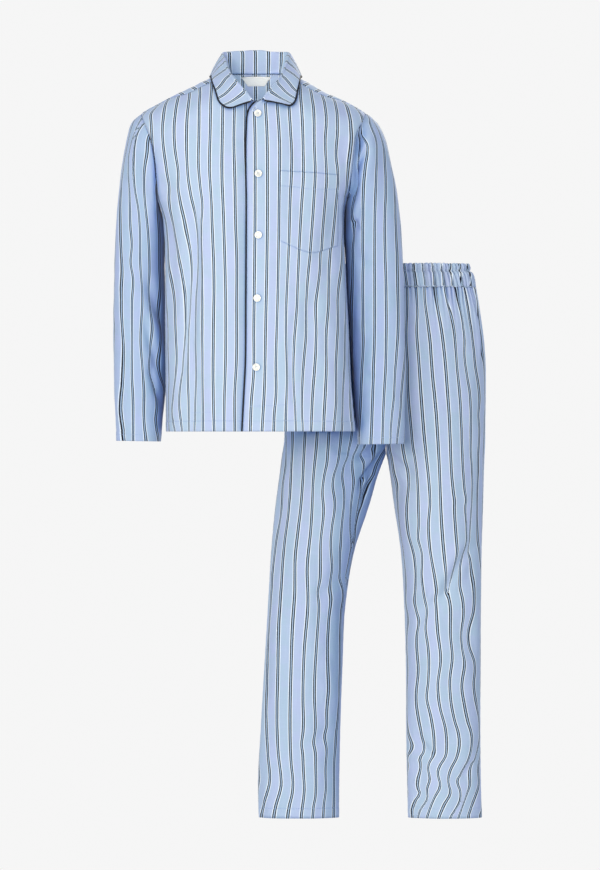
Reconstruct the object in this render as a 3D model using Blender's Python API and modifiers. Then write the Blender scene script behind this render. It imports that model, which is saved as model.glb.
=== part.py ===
"""A two-piece pyjama set: a long-sleeved shirt with a turned-down collar, and trousers with a gathered waist.

Every cloth piece is a hollow wall bent over a rounded, worn form. Metres: X runs to the wearer's left,
-Y to the front and +Z up. The origin is in the middle of the neck opening, between the shoulders.
"""

import math
from collections import namedtuple

import bmesh
import bpy
import numpy as np
from mathutils import Vector

SET_NAME = "pyjama_set"
CUTTERS_NAME = "cutters"

RIGHT = -1
LEFT = 1
FRONT = -1
BACK = 1

WALL = 0.0016
SEAM = 0.0004  # half of the gap between two sewn pieces, which their walls narrow to 0.3 mm inside
LIFT = 0.0010  # clearance under what lies on a panel
FOLD_FADE = 0.3  # share of a fold's length over which it fades in and out
FOLD_HOLD = 0.12  # share of a piece over which folds die away towards its seams
SMALL_STEP = 1e-4  # in shares of a surface, for finding its normals

# How many points each piece is made from, across and up.
Grid = namedtuple("Grid", "columns rows")
FRONT_GRID = Grid(14, 19)
BACK_GRID = Grid(19, 19)
YOKE_GRID = Grid(26, 8)
SLEEVE_GRID = Grid(21, 20)
POCKET_GRID = Grid(9, 7)
LABEL_GRID = Grid(7, 3)
LEG_GRID = Grid(11, 23)
WAISTBAND_ROWS = 3
COLLAR_COLUMNS = 24
COLLAR_PIPING_POINTS = 30
CORNER_POINTS = 4
STAND_ROWS = 3
ROLL_ROWS = 4
FALL_ROWS = 5
CLOSER_UP = 1.35  # rows come closer towards the shoulder, which bends most
CLOSER_NECK = 1.15  # columns come closer towards the neck, and a sleeve's rings towards its head

COTTON = (0.52, 0.64, 0.86)
PIPING = (0.012, 0.015, 0.03)
PEARL = (0.86, 0.85, 0.82)
LABEL = (0.88, 0.86, 0.8)

# The shirt's body, level by level: the sides below the armpit and the armhole seams above it.
TorsoRow = namedtuple("TorsoRow", "z right left front back")
TORSO = [
    TorsoRow(-0.704, -0.180, 0.196, 0.138, 0.130),
    TorsoRow(-0.600, -0.181, 0.190, 0.139, 0.130),
    TorsoRow(-0.480, -0.182, 0.185, 0.139, 0.131),
    TorsoRow(-0.360, -0.182, 0.178, 0.139, 0.133),
    TorsoRow(-0.296, -0.184, 0.176, 0.139, 0.135),
    TorsoRow(-0.262, -0.189, 0.178, 0.139, 0.136),
    TorsoRow(-0.236, -0.198, 0.184, 0.138, 0.136),
    TorsoRow(-0.200, -0.199, 0.189, 0.136, 0.135),
    TorsoRow(-0.160, -0.202, 0.194, 0.131, 0.133),
    TorsoRow(-0.114, -0.212, 0.200, 0.122, 0.128),
    TorsoRow(-0.068, -0.230, 0.220, 0.110, 0.116),
    TorsoRow(-0.020, -0.236, 0.226, 0.094, 0.095),
    TorsoRow(0.030, -0.238, 0.228, 0.080, 0.080),
]
TORSO_ROUNDNESS = 2.4  # 2 is an ellipse and more is squarer
SHIRT_HEM = -0.703
ARMPIT = -0.236
ARMHOLE_DEPTH = 0.068  # from the side line to the front or back of the armhole
ARMHOLE_CURVE = 0.085  # height over which the armhole widens from the armpit

# The shoulder line seen from the front, from the wearer's right to left.
ShoulderRow = namedtuple("ShoulderRow", "x z")
SHOULDER = [
    ShoulderRow(-0.246, -0.083),
    ShoulderRow(-0.230, -0.068),
    ShoulderRow(-0.196, -0.048),
    ShoulderRow(-0.132, -0.016),
    ShoulderRow(-0.098, 0.001),
    ShoulderRow(-0.070, 0.013),
    ShoulderRow(0.000, 0.024),
    ShoulderRow(0.070, 0.012),
    ShoulderRow(0.092, 0.000),
    ShoulderRow(0.154, -0.032),
    ShoulderRow(0.202, -0.056),
    ShoulderRow(0.220, -0.067),
    ShoulderRow(0.240, -0.082),
]
SHOULDER_ROUND = 0.070  # height over which the cloth turns over the shoulder
YOKE_FRONT_DROP = 0.010
YOKE_BACK_Z = -0.100
NECK_SIDE = 0.0745
NECK_BACK_TURN = 0.55  # how far the neckline goes round the shoulder, in radians
NECK_FRONT_TURN = 1.15
NECK_FRONT_Z = -0.046
NECK_FRONT_CURVE = 1.5
YOKE_ARMHOLE_SHARE = 0.2  # share of the yoke's outer edge that lies along each armhole
YOKE_SEAM_SECTION = 0.09  # size of the section at the front seam, which turns its gap into an angle
SHOULDER_POINT_Z = -0.068

# The front edge of the top layer, which the piping follows, and how the layer below is set back.
EdgeRow = namedtuple("EdgeRow", "z x")
FRONT_EDGE = [
    EdgeRow(-0.704, -0.0260),
    EdgeRow(-0.640, -0.0228),
    EdgeRow(-0.580, -0.0195),
    EdgeRow(-0.440, -0.0182),
    EdgeRow(-0.250, -0.0174),
    EdgeRow(-0.100, -0.0174),
    EdgeRow(-0.076, -0.0160),
    EdgeRow(-0.064, -0.0130),
    EdgeRow(-0.054, -0.0065),
    EdgeRow(-0.047, 0.0020),
    EdgeRow(-0.043, 0.0095),
]
UNDERLAP_EDGE = 0.018
UNDERLAP_SETBACK = 0.0044
UNDERLAP_STEP = (0.024, 0.007)  # the setback starts and is complete this far outside the front edge

# A sleeve, ring by ring from the armhole to the hem: its outer and inner edges seen from the front,
# and where its middle lies from front to back. x is measured away from the body's centre line.
SleeveRow = namedtuple("SleeveRow", "at outer_x outer_z inner_x inner_z depth middle")
SLEEVES = {
    RIGHT: [
        SleeveRow(0.00, 0.2300, -0.0680, 0.1980, -0.2360, 0.068, 0.000),
        SleeveRow(0.04, 0.2460, -0.0840, 0.1972, -0.2440, 0.071, 0.002),
        SleeveRow(0.10, 0.2585, -0.1130, 0.1955, -0.2550, 0.073, 0.008),
        SleeveRow(0.18, 0.2675, -0.1560, 0.1910, -0.2740, 0.072, 0.018),
        SleeveRow(0.27, 0.2755, -0.2150, 0.1857, -0.3040, 0.070, 0.028),
        SleeveRow(0.36, 0.2820, -0.2850, 0.1831, -0.3480, 0.066, 0.036),
        SleeveRow(0.46, 0.2860, -0.3640, 0.1820, -0.4040, 0.062, 0.041),
        SleeveRow(0.57, 0.2860, -0.4500, 0.1816, -0.4700, 0.058, 0.041),
        SleeveRow(0.69, 0.2862, -0.5400, 0.1816, -0.5480, 0.055, 0.039),
        SleeveRow(0.80, 0.2845, -0.6200, 0.1831, -0.6240, 0.053, 0.037),
        SleeveRow(0.90, 0.2815, -0.6800, 0.1870, -0.6820, 0.051, 0.034),
        SleeveRow(1.00, 0.2790, -0.7215, 0.1910, -0.7230, 0.050, 0.032),
    ],
    LEFT: [
        SleeveRow(0.00, 0.2200, -0.0670, 0.1840, -0.2360, 0.068, 0.000),
        SleeveRow(0.04, 0.2400, -0.0810, 0.1850, -0.2460, 0.071, 0.002),
        SleeveRow(0.10, 0.2570, -0.1100, 0.1850, -0.2590, 0.073, 0.008),
        SleeveRow(0.18, 0.2690, -0.1570, 0.1835, -0.2800, 0.072, 0.018),
        SleeveRow(0.27, 0.2820, -0.2200, 0.1795, -0.3120, 0.070, 0.028),
        SleeveRow(0.36, 0.2900, -0.2900, 0.1790, -0.3560, 0.066, 0.036),
        SleeveRow(0.46, 0.2950, -0.3660, 0.1815, -0.4100, 0.062, 0.041),
        SleeveRow(0.57, 0.2975, -0.4520, 0.1863, -0.4740, 0.058, 0.041),
        SleeveRow(0.69, 0.2985, -0.5420, 0.1900, -0.5500, 0.055, 0.039),
        SleeveRow(0.80, 0.2985, -0.6220, 0.1950, -0.6260, 0.053, 0.037),
        SleeveRow(0.90, 0.2975, -0.6840, 0.1995, -0.6860, 0.051, 0.034),
        SleeveRow(1.00, 0.2960, -0.7280, 0.2040, -0.7290, 0.050, 0.032),
    ],
}
SLEEVE_ROUNDNESS = 2.2
SLEEVE_HEAD = 0.22  # share of the sleeve over which the armhole's shape becomes a plain oval

# The collar from the wearer's right front, round the back, to the left front: the roll line on top of
# the stand, and the outer edge of the fall. The neck seam comes from the shirt's own neckline.
CollarRow = namedtuple("CollarRow", "at roll_x roll_y roll_z edge_x edge_y edge_z")
COLLAR = [
    CollarRow(0.00, -0.005, -0.1130, -0.043, -0.054, -0.1140, -0.0605),
    CollarRow(0.10, -0.018, -0.0990, -0.025, -0.071, -0.1040, -0.0480),
    CollarRow(0.20, -0.038, -0.0750, -0.002, -0.079, -0.0880, -0.0250),
    CollarRow(0.30, -0.054, -0.0400, 0.023, -0.088, -0.0530, -0.0010),
    CollarRow(0.38, -0.060, 0.0000, 0.046, -0.0890, -0.0050, 0.0090),
    CollarRow(0.44, -0.059, 0.0360, 0.058, -0.083, 0.0460, 0.0070),
    CollarRow(0.50, 0.000, 0.0640, 0.062, 0.000, 0.0880, -0.0050),
    CollarRow(0.56, 0.059, 0.0360, 0.058, 0.083, 0.0460, 0.0070),
    CollarRow(0.62, 0.060, 0.0000, 0.046, 0.0875, -0.0050, 0.0085),
    CollarRow(0.70, 0.054, -0.0400, 0.023, 0.087, -0.0520, -0.0020),
    CollarRow(0.80, 0.042, -0.0750, -0.002, 0.082, -0.0880, -0.0260),
    CollarRow(0.90, 0.024, -0.0990, -0.025, 0.077, -0.1040, -0.0460),
    CollarRow(1.00, 0.012, -0.1120, -0.041, 0.067, -0.1140, -0.0560),
]
COLLAR_ENDS = {RIGHT: -0.004, LEFT: 0.012}  # where the neck seam ends at the front
COLLAR_FOLD = 0.0030  # radius of the roll
COLLAR_CLEAR = 0.0016  # from the neckline up to the collar's own seam
COLLAR_BULGE = 0.0015
COLLAR_SEAM_SHARE = 0.30  # share of the neck seam that lies along each front
STAND_SHARE = 0.25  # the stand ends and the fall begins at these shares of the collar's depth
FALL_SHARE = 0.45
COLLAR_CORNER = (0.030, 0.14)  # how far each corner is rounded off, in shares along and down
COLLAR_INSIDE = (0.002, 0.998)  # where the collar's surface bends as it does at its very ends

# The chest pocket, across and down the wearer's left front.
PocketRow = namedtuple("PocketRow", "across x top bottom")
POCKET = [
    PocketRow(0.00, 0.048, -0.186, -0.325),
    PocketRow(0.45, 0.106, -0.189, -0.348),
    PocketRow(1.00, 0.164, -0.193, -0.334),
]
POCKET_WALL = 0.0012

LABEL_TOP_HALF = 0.030
LABEL_BOTTOM_HALF = 0.0168
LABEL_TURN = (0.62, 0.98)  # from the neck seam down the inside of the back, in radians
LABEL_WALL = 0.0010
LABEL_LIFT = 0.0014  # clearance from the cloth, which curves away behind it

# Where the buttons sit on the top layer.
ButtonRow = namedtuple("ButtonRow", "x z")
BUTTONS = [
    ButtonRow(0.0044, -0.0715),
    ButtonRow(0.0056, -0.1920),
    ButtonRow(0.0056, -0.3135),
    ButtonRow(0.0036, -0.4388),
    ButtonRow(0.0014, -0.5755),
]
BUTTON_RADIUS = 0.0076
BUTTON_HEIGHT = 0.0030
BUTTON_SIDES = 12
BUTTON_LIFT = 0.0004
BUTTON_HOLE_RADIUS = 0.0009
BUTTON_HOLE_SPACING = 0.0026
BUTTON_HOLE_SIDES = 6
BUTTON_MERGE = 1e-5
CUTTER_LENGTH = 0.02
# Half of a button's section, in shares of its radius and height: the dish, the rim and the base.
BUTTON_SECTION = [(0, 0.62), (0.62, 0.62), (0.74, 1), (0.92, 1), (1, 0.66), (0.92, 0), (0, 0)]
PIPING_RADIUS = 0.0014
PIPING_GAP = 0.0010  # from the edge of the cloth, which is closer where it bends
PIPING_ASIDE = -(PIPING_RADIUS + PIPING_GAP)
PIPING_END = 0.994  # share of the front edge at which the piping goes under the collar

# The trousers, level by level. Seen from the front, each leg's oval runs from its outer to its inner x;
# above the crotch the inner x lies past the centre seam, which cuts the oval.
TROUSERS_CENTRE = 0.2625
TROUSERS_BEHIND = 0.2230  # from the shirt's middle plane to the trousers' own
TROUSER_HEM = -1.486
WAIST_TOP = -0.363
WAIST_SEAM = -0.411
LegRow = namedtuple("LegRow", "z outer inner front back")
LEGS = {
    LEFT: [
        LegRow(-0.358, 0.1630, -0.1630, 0.106, 0.112),
        LegRow(-0.411, 0.1800, -0.1800, 0.117, 0.124),
        LegRow(-0.480, 0.1945, -0.1880, 0.125, 0.134),
        LegRow(-0.550, 0.2020, -0.1750, 0.128, 0.140),
        LegRow(-0.620, 0.2030, -0.1050, 0.127, 0.140),
        LegRow(-0.690, 0.2020, -0.0380, 0.122, 0.134),
        LegRow(-0.730, 0.2015, -0.0080, 0.117, 0.128),
        LegRow(-0.750, 0.2005, 0.0004, 0.114, 0.124),
        LegRow(-0.790, 0.1990, 0.0080, 0.109, 0.116),
        LegRow(-0.846, 0.1975, 0.0155, 0.102, 0.106),
        LegRow(-0.945, 0.1945, 0.0300, 0.092, 0.095),
        LegRow(-1.045, 0.1930, 0.0365, 0.083, 0.087),
        LegRow(-1.180, 0.1925, 0.0405, 0.074, 0.078),
        LegRow(-1.310, 0.1920, 0.0410, 0.068, 0.070),
        LegRow(-1.420, 0.1930, 0.0430, 0.064, 0.066),
        LegRow(-1.490, 0.1950, 0.0450, 0.063, 0.065),
    ],
    RIGHT: [
        LegRow(-0.358, 0.1630, -0.1630, 0.106, 0.112),
        LegRow(-0.411, 0.1800, -0.1800, 0.117, 0.124),
        LegRow(-0.480, 0.1945, -0.1880, 0.125, 0.134),
        LegRow(-0.550, 0.2020, -0.1750, 0.128, 0.140),
        LegRow(-0.620, 0.2040, -0.1050, 0.127, 0.140),
        LegRow(-0.690, 0.2060, -0.0380, 0.122, 0.134),
        LegRow(-0.730, 0.2075, -0.0080, 0.117, 0.128),
        LegRow(-0.750, 0.2110, 0.0004, 0.114, 0.124),
        LegRow(-0.790, 0.2160, 0.0160, 0.109, 0.116),
        LegRow(-0.846, 0.2235, 0.0320, 0.102, 0.106),
        LegRow(-0.945, 0.2330, 0.0640, 0.092, 0.095),
        LegRow(-1.045, 0.2390, 0.0810, 0.083, 0.087),
        LegRow(-1.180, 0.2470, 0.0880, 0.074, 0.078),
        LegRow(-1.310, 0.2545, 0.0925, 0.066, 0.068),
        LegRow(-1.420, 0.2600, 0.0945, 0.060, 0.062),
        LegRow(-1.490, 0.2580, 0.0950, 0.058, 0.060),
    ],
}
WAIST_GATHERS = 94
GATHER_DEPTH = 0.0016
LEG_CLOSED = 0.98 * math.pi  # past this angle a leg's oval is whole, and its panels meet at the inseam

# The largest folds: soft troughs (positive depth) or ridges (negative depth) from one point to another
# of a piece, in shares of its width and height.
Fold = namedtuple("Fold", "piece start end width depth")
FOLDS = [
    Fold("shirt_front_right", (0.42, -0.10), (0.50, 0.66), 0.080, 0.0055),
    Fold("shirt_front_right", (0.28, -0.10), (0.32, 0.46), 0.070, -0.0030),
    Fold("shirt_front_left", (0.26, -0.10), (0.40, 0.50), 0.080, 0.0035),
    Fold("shirt_front_left", (0.54, -0.10), (0.70, 0.46), 0.090, -0.0035),
    Fold("shirt_back", (0.24, -0.10), (0.16, 0.80), 0.050, 0.0060),
    Fold("shirt_back", (0.74, -0.10), (0.84, 0.82), 0.050, 0.0060),
    Fold("shirt_sleeve_right", (0.25, 0.45), (0.46, 0.62), 0.040, 0.0045),
    Fold("shirt_sleeve_right", (0.28, 0.72), (0.46, 0.84), 0.040, 0.0040),
    Fold("shirt_sleeve_left", (0.28, 0.18), (0.44, 0.33), 0.040, 0.0045),
    Fold("shirt_sleeve_left", (0.22, 0.60), (0.44, 0.72), 0.040, 0.0040),
    Fold("trousers_front_right", (0.95, 0.61), (0.50, 0.70), 0.040, 0.0050),
    Fold("trousers_front_right", (0.92, 0.55), (0.52, 0.64), 0.035, 0.0040),
    Fold("trousers_front_left", (0.95, 0.60), (0.55, 0.68), 0.040, 0.0050),
    Fold("trousers_front_left", (0.16, 0.47), (0.62, 0.40), 0.030, 0.0055),
    Fold("trousers_front_left", (0.62, 0.38), (0.14, 0.33), 0.030, 0.0055),
    Fold("trousers_front_left", (0.20, 0.18), (0.65, 0.13), 0.030, 0.0045),
    Fold("trousers_back_left", (0.15, 0.42), (0.80, 0.37), 0.035, 0.0055),
    Fold("trousers_back_right", (0.15, 0.40), (0.80, 0.36), 0.035, 0.0055),
]


def smooth(table, key, name, at):
    """The column called name, read as a smooth curve over the column called key."""
    rows = sorted(table, key=lambda row: getattr(row, key))
    keys = np.array([getattr(row, key) for row in rows])
    values = np.array([getattr(row, name) for row in rows])
    slopes = np.gradient(values, keys)
    at = np.clip(at, keys[0], keys[-1])
    i = np.clip(np.searchsorted(keys, at, side="right") - 1, 0, len(keys) - 2)
    step = keys[i + 1] - keys[i]
    t = (at - keys[i]) / step
    return (
        (1 + 2 * t) * (1 - t) ** 2 * values[i]
        + t * (1 - t) ** 2 * step * slopes[i]
        + t**2 * (3 - 2 * t) * values[i + 1]
        + t**2 * (t - 1) * step * slopes[i + 1]
    )


def eased(t):
    """0 below 0, 1 above 1 and smooth between."""
    t = np.clip(t, 0, 1)
    return t * t * (3 - 2 * t)


def power(value, exponent):
    """A power that keeps the sign of its base."""
    return np.sign(value) * np.abs(value) ** exponent


def bisected(miss, low, high):
    """Where the rising function miss is zero, for each pair of low and high."""
    for _ in range(40):
        middle = (low + high) / 2
        above = miss(middle) > 0
        high = np.where(above, middle, high)
        low = np.where(above, low, middle)
    return (low + high) / 2


# The shirt's body

YOKE_SEAM_TURN = math.acos(1 - YOKE_FRONT_DROP / SHOULDER_ROUND)
YOKE_SEAM_GAP = SEAM / YOKE_SEAM_SECTION


def torso_centre(z):
    return (smooth(TORSO, "z", "right", z) + smooth(TORSO, "z", "left", z)) / 2


def torso_depth(z, face):
    return smooth(TORSO, "z", "front" if face == FRONT else "back", z)


def armhole_depth(z):
    rise = np.clip((z - ARMPIT) / ARMHOLE_CURVE, 0, 1)
    return np.maximum(ARMHOLE_DEPTH * np.sqrt(rise * (2 - rise)), SEAM)


def edge_angle(z, face):
    """The angle from the centre line at which the body's oval meets the side seam or the armhole."""
    return np.arccos((armhole_depth(z) / torso_depth(z, face)) ** (TORSO_ROUNDNESS / 2))


def torso_half_width(z, face):
    reach = (smooth(TORSO, "z", "left", z) - smooth(TORSO, "z", "right", z)) / 2
    return reach / np.sin(edge_angle(z, face)) ** (2 / TORSO_ROUNDNESS)


def shoulder_turn(x, z):
    """The angle by which the cloth has turned over the shoulder line, and on down past a quarter turn."""
    share = (smooth(SHOULDER, "x", "z", x) - z) / SHOULDER_ROUND
    return np.where(share < 1, np.arccos(np.clip(1 - share, 0, 1)), math.pi / 2 + share - 1)


def turned_drop(turn):
    share = np.where(turn < math.pi / 2, 1 - np.cos(turn), 1 + turn - math.pi / 2)
    return share * SHOULDER_ROUND


def torso_x(angle, z, face):
    return torso_centre(z) + torso_half_width(z, face) * power(np.sin(angle), 2 / TORSO_ROUNDNESS)


def torso_angle(x, z, face):
    share = np.clip((x - torso_centre(z)) / torso_half_width(z, face), -1, 1)
    return np.arcsin(power(share, TORSO_ROUNDNESS / 2))


def torso_point(angle, z, face):
    x = torso_x(angle, z, face)
    bulge = np.abs(np.cos(angle)) ** (2 / TORSO_ROUNDNESS)
    fullness = np.sin(np.minimum(shoulder_turn(x, z), math.pi / 2))
    return np.stack([x, face * torso_depth(z, face) * bulge * fullness, z + 0 * x], axis=-1)


def torso_at(x, z, face):
    return torso_point(torso_angle(x, z, face), z + 0 * x, face)


def neck_lean(turn):
    """The bearing, forwards of the side, at which the neckline has turned this far over the shoulder."""
    return math.asin(turn / NECK_FRONT_TURN)


def front_top(x):
    """The height of a front's top edge: the neckline, then the yoke's front seam."""
    corner = NECK_SIDE * math.cos(neck_lean(YOKE_SEAM_TURN))
    drop = turned_drop(YOKE_SEAM_TURN + YOKE_SEAM_GAP)
    seam_z = smooth(SHOULDER, "x", "z", x) - drop
    corner_z = smooth(SHOULDER, "x", "z", np.sign(x) * corner) - drop
    neck_z = NECK_FRONT_Z + (corner_z - NECK_FRONT_Z) * (np.abs(x) / corner) ** NECK_FRONT_CURVE
    return np.where(np.abs(x) < corner, neck_z, seam_z)


def front_angle(side, across, z):
    """The angle at a share of the way from the front edge to the side."""
    edge = smooth(FRONT_EDGE, "z", "x", z) if side == LEFT else UNDERLAP_EDGE + 0 * z
    start = torso_angle(edge, z, FRONT)
    return start + (side * edge_angle(z, FRONT) - start) * across


def front_column_top(side, across):
    """The height of the top edge at a share across a front."""

    def miss(z):
        return z - front_top(torso_x(front_angle(side, across, z), z, FRONT))

    return bisected(miss, SHIRT_HEM + 0 * across, 0.02 + 0 * across)


def front(side):
    """A front of the shirt, as a function of the shares across, from its edge, and up, from the hem."""

    def place(across, up):
        z = SHIRT_HEM + (front_column_top(side, across) - SHIRT_HEM) * up
        points = torso_point(front_angle(side, across, z), z, FRONT)
        if side == RIGHT:
            points[..., 1] += underlap_setback(points[..., 0], z)
        return points

    return place


def underlap_setback(x, z):
    outside = smooth(FRONT_EDGE, "z", "x", z) - x
    start, complete = UNDERLAP_STEP
    return UNDERLAP_SETBACK * eased((start - outside) / (start - complete))


def shirt_back(across, up):
    top = YOKE_BACK_Z - SEAM
    z = SHIRT_HEM + (top - SHIRT_HEM) * up
    return torso_point(edge_angle(z, BACK) * (1 - 2 * across), z, BACK)


def neckline(along):
    """The yoke's neckline from the right front, round the back, to the left: its x and shoulder turn."""
    lean = neck_lean(YOKE_SEAM_TURN - YOKE_SEAM_GAP)
    bearing = -lean + (math.pi + 2 * lean) * along
    turn = np.where(np.sin(bearing) > 0, NECK_BACK_TURN, NECK_FRONT_TURN) * np.sin(bearing)
    return -NECK_SIDE * np.cos(bearing), turn


def armhole_x(side, z):
    return smooth(TORSO, "z", "left" if side == LEFT else "right", z)


def armhole_turned(side, turn):
    """The x at which the armhole seam has turned this far over the shoulder."""
    x = armhole_x(side, SHOULDER_POINT_Z) + 0 * turn
    for _ in range(8):
        x = armhole_x(side, smooth(SHOULDER, "x", "z", x) - turned_drop(np.abs(turn)))
    return x


def yoke_rim(along):
    """The yoke's outer edge: over the right armhole, along the back seam and over the left armhole."""
    low = YOKE_BACK_Z + SEAM
    side = np.where(along < 0.5, RIGHT, LEFT)
    over = np.clip(np.minimum(along, 1 - along) / YOKE_ARMHOLE_SHARE, 0, 1)
    ends = {each: armhole_x(each, low) for each in (RIGHT, LEFT)}
    start = YOKE_SEAM_TURN - YOKE_SEAM_GAP
    rims = {}
    for each, end in ends.items():
        turn = -start + (shoulder_turn(end, low) + start) * over
        rims[each] = armhole_turned(each, turn), turn
    x = np.where(side == RIGHT, rims[RIGHT][0], rims[LEFT][0])
    turn = np.where(side == RIGHT, rims[RIGHT][1], rims[LEFT][1])
    across = (along - YOKE_ARMHOLE_SHARE) / (1 - 2 * YOKE_ARMHOLE_SHARE)
    seam_x = ends[RIGHT] + (ends[LEFT] - ends[RIGHT]) * across
    on_seam = (across > 0) & (across < 1)
    return np.where(on_seam, seam_x, x), np.where(on_seam, shoulder_turn(seam_x, low), turn)


def over_shoulder(x, turn):
    """A point of the yoke. The turn is negative in front of the shoulder line and positive behind it."""
    z = smooth(SHOULDER, "x", "z", x) - turned_drop(np.abs(turn))
    ahead = torso_at(x, z, FRONT)
    behind = torso_at(x, z, BACK)
    return np.where((turn < 0)[..., None], ahead, behind)


def yoke(along, out):
    inner_x, inner_turn = neckline(along)
    outer_x, outer_turn = yoke_rim(along)
    x = inner_x + (outer_x - inner_x) * out
    return over_shoulder(x, inner_turn + (outer_turn - inner_turn) * out)


def armhole(side, bearing):
    """The armhole seam, from the shoulder forwards and down to the armpit and up the back."""
    top = smooth(SHOULDER, "x", "z", armhole_x(side, SHOULDER_POINT_Z))
    z = top - (top - ARMPIT) * (1 - np.cos(bearing)) / 2
    x = armhole_x(side, z)
    fullness = np.sin(np.minimum(shoulder_turn(x, z), math.pi / 2))
    y = -np.sign(np.sin(bearing)) * armhole_depth(z) * fullness
    return np.stack([x + side * 2 * SEAM, y, z], axis=-1)


def sleeve(side):
    """A sleeve, as a function of the share round it, from the top forwards, and along it."""
    table = SLEEVES[side]

    def oval(bearing, at):
        values = {name: smooth(table, "at", name, at) for name in SleeveRow._fields}
        lift = power(np.cos(bearing), 2 / SLEEVE_ROUNDNESS)
        ahead = power(np.sin(bearing), 2 / SLEEVE_ROUNDNESS)
        outwards = (1 + lift) / 2
        x = values["inner_x"] + (values["outer_x"] - values["inner_x"]) * outwards
        z = values["inner_z"] + (values["outer_z"] - values["inner_z"]) * outwards
        return np.stack([side * x, values["middle"] - values["depth"] * ahead, z], axis=-1)

    def place(around, along):
        bearing = 2 * math.pi * around
        shape = armhole(side, bearing) - oval(bearing, 0 * along)
        return oval(bearing, along) + (1 - eased(along / SLEEVE_HEAD))[..., None] * shape

    return place


# The collar


def neck_seam(at):
    """The shirt's neckline all the way round, at the collar's own shares."""
    corner = NECK_SIDE * math.cos(neck_lean(YOKE_SEAM_TURN))
    share = COLLAR_SEAM_SHARE
    right = np.clip(at / share, 0, 1)
    left = np.clip((1 - at) / share, 0, 1)
    round_back = np.clip((at - share) / (1 - 2 * share), 0, 1)
    back_x, back_turn = neckline(round_back)
    behind = over_shoulder(back_x, back_turn)
    right_x = COLLAR_ENDS[RIGHT] - (corner + COLLAR_ENDS[RIGHT]) * right
    left_x = COLLAR_ENDS[LEFT] + (corner - COLLAR_ENDS[LEFT]) * left
    x = np.where(at < 0.5, right_x, left_x)
    ahead = torso_at(x, front_top(x), FRONT)
    in_front = (at < share) | (at > 1 - share)
    return np.where(in_front[..., None], ahead, behind)


def collar_depth(at):
    """The share of the depth that the collar reaches, less at its rounded corners."""
    width, cut = COLLAR_CORNER
    inside = np.clip(np.minimum(at, 1 - at) / width, 0, 1)
    return 1 - cut * (1 - np.sqrt(inside * (2 - inside)))


def collar(at, out):
    """The collar's visible face: up the inside of the stand, over the roll and down the fall."""
    reach = (collar_depth(at) - FALL_SHARE) / (1 - FALL_SHARE)
    out = np.where(out > FALL_SHARE, FALL_SHARE + (out - FALL_SHARE) * reach, out)
    seam = neck_seam(at) + np.array([0, 0, COLLAR_CLEAR])
    roll = np.stack([smooth(COLLAR, "at", "roll_" + axis, at) for axis in "xyz"], axis=-1)
    edge = np.stack([smooth(COLLAR, "at", "edge_" + axis, at) for axis in "xyz"], axis=-1)
    away = (edge - roll) * np.array([1, 1, 0])
    away /= np.linalg.norm(away, axis=-1, keepdims=True)
    up = np.array([0.0, 0.0, 1.0])
    turn = np.clip((out - STAND_SHARE) / (FALL_SHARE - STAND_SHARE), 0, 1)[..., None] * math.pi
    over = roll + COLLAR_FOLD * ((1 - np.cos(turn)) * away + (np.sin(turn) - 1) * up)
    stand_top = roll - COLLAR_FOLD * up
    fall_top = roll + COLLAR_FOLD * (2 * away - up)
    rise = np.clip(out / STAND_SHARE, 0, 1)[..., None]
    fall = np.clip((out - FALL_SHARE) / (1 - FALL_SHARE), 0, 1)[..., None]
    standing = seam + (stand_top - seam) * rise
    falling = fall_top + (edge - fall_top) * fall + COLLAR_BULGE * np.sin(math.pi * fall) * away
    out = out[..., None]
    return np.where(out < STAND_SHARE, standing, np.where(out > FALL_SHARE, falling, over))


# The trousers


def leg_value(side, name, z):
    return smooth(LEGS[side], "z", name, z)


def leg_end_angle(side, z):
    """The angle from the outer edge at which a leg's oval meets the centre seam or the inseam."""
    outer, inner = leg_value(side, "outer", z), leg_value(side, "inner", z)
    middle, half = (outer + inner) / 2, (outer - inner) / 2
    return np.arccos(np.clip(-middle / half, -1, 1))


def trouser_panel(side, face):
    """A quarter of the trousers, as a function of the shares in, from the side seam, and up."""

    def place(across, up):
        z = TROUSER_HEM + (WAIST_SEAM - 2 * SEAM - TROUSER_HEM) * up
        outer, inner = leg_value(side, "outer", z), leg_value(side, "inner", z)
        middle, half = (outer + inner) / 2, (outer - inner) / 2
        depth = leg_value(side, "front" if face == FRONT else "back", z)
        start = SEAM / depth
        end = leg_end_angle(side, z)
        end = end - SEAM / np.where(end > LEG_CLOSED, depth, half * np.sin(end) + SEAM)
        angle = start + (end - start) * across
        x = TROUSERS_CENTRE + side * (middle + half * np.cos(angle))
        return np.stack([x, TROUSERS_BEHIND + face * depth * np.sin(angle), z], axis=-1)

    return place


def waistband(around, up):
    """The gathered casing, from the seam to the top edge."""
    z = WAIST_SEAM + (WAIST_TOP - WAIST_SEAM) * up
    angle = 2 * math.pi * around
    half = leg_value(LEFT, "outer", z)
    depth = np.where(np.sin(angle) < 0, leg_value(LEFT, "front", z), leg_value(LEFT, "back", z))
    wave = GATHER_DEPTH * np.cos(WAIST_GATHERS * angle)
    x = TROUSERS_CENTRE + (half + wave) * np.cos(angle)
    return np.stack([x, TROUSERS_BEHIND + (depth + wave) * np.sin(angle), z], axis=-1)


# What lies on a panel


def unit_normals(place, a, b, outer):
    """Unit normals on a surface's outer side, from small steps along its two shares."""
    low_a, high_a = np.clip(a - SMALL_STEP, 0, 1), np.clip(a + SMALL_STEP, 0, 1)
    low_b, high_b = np.clip(b - SMALL_STEP, 0, 1), np.clip(b + SMALL_STEP, 0, 1)
    normal = np.cross(place(high_a, b) - place(low_a, b), place(a, high_b) - place(a, low_b))
    return outer * normal / np.linalg.norm(normal, axis=-1, keepdims=True)


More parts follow.
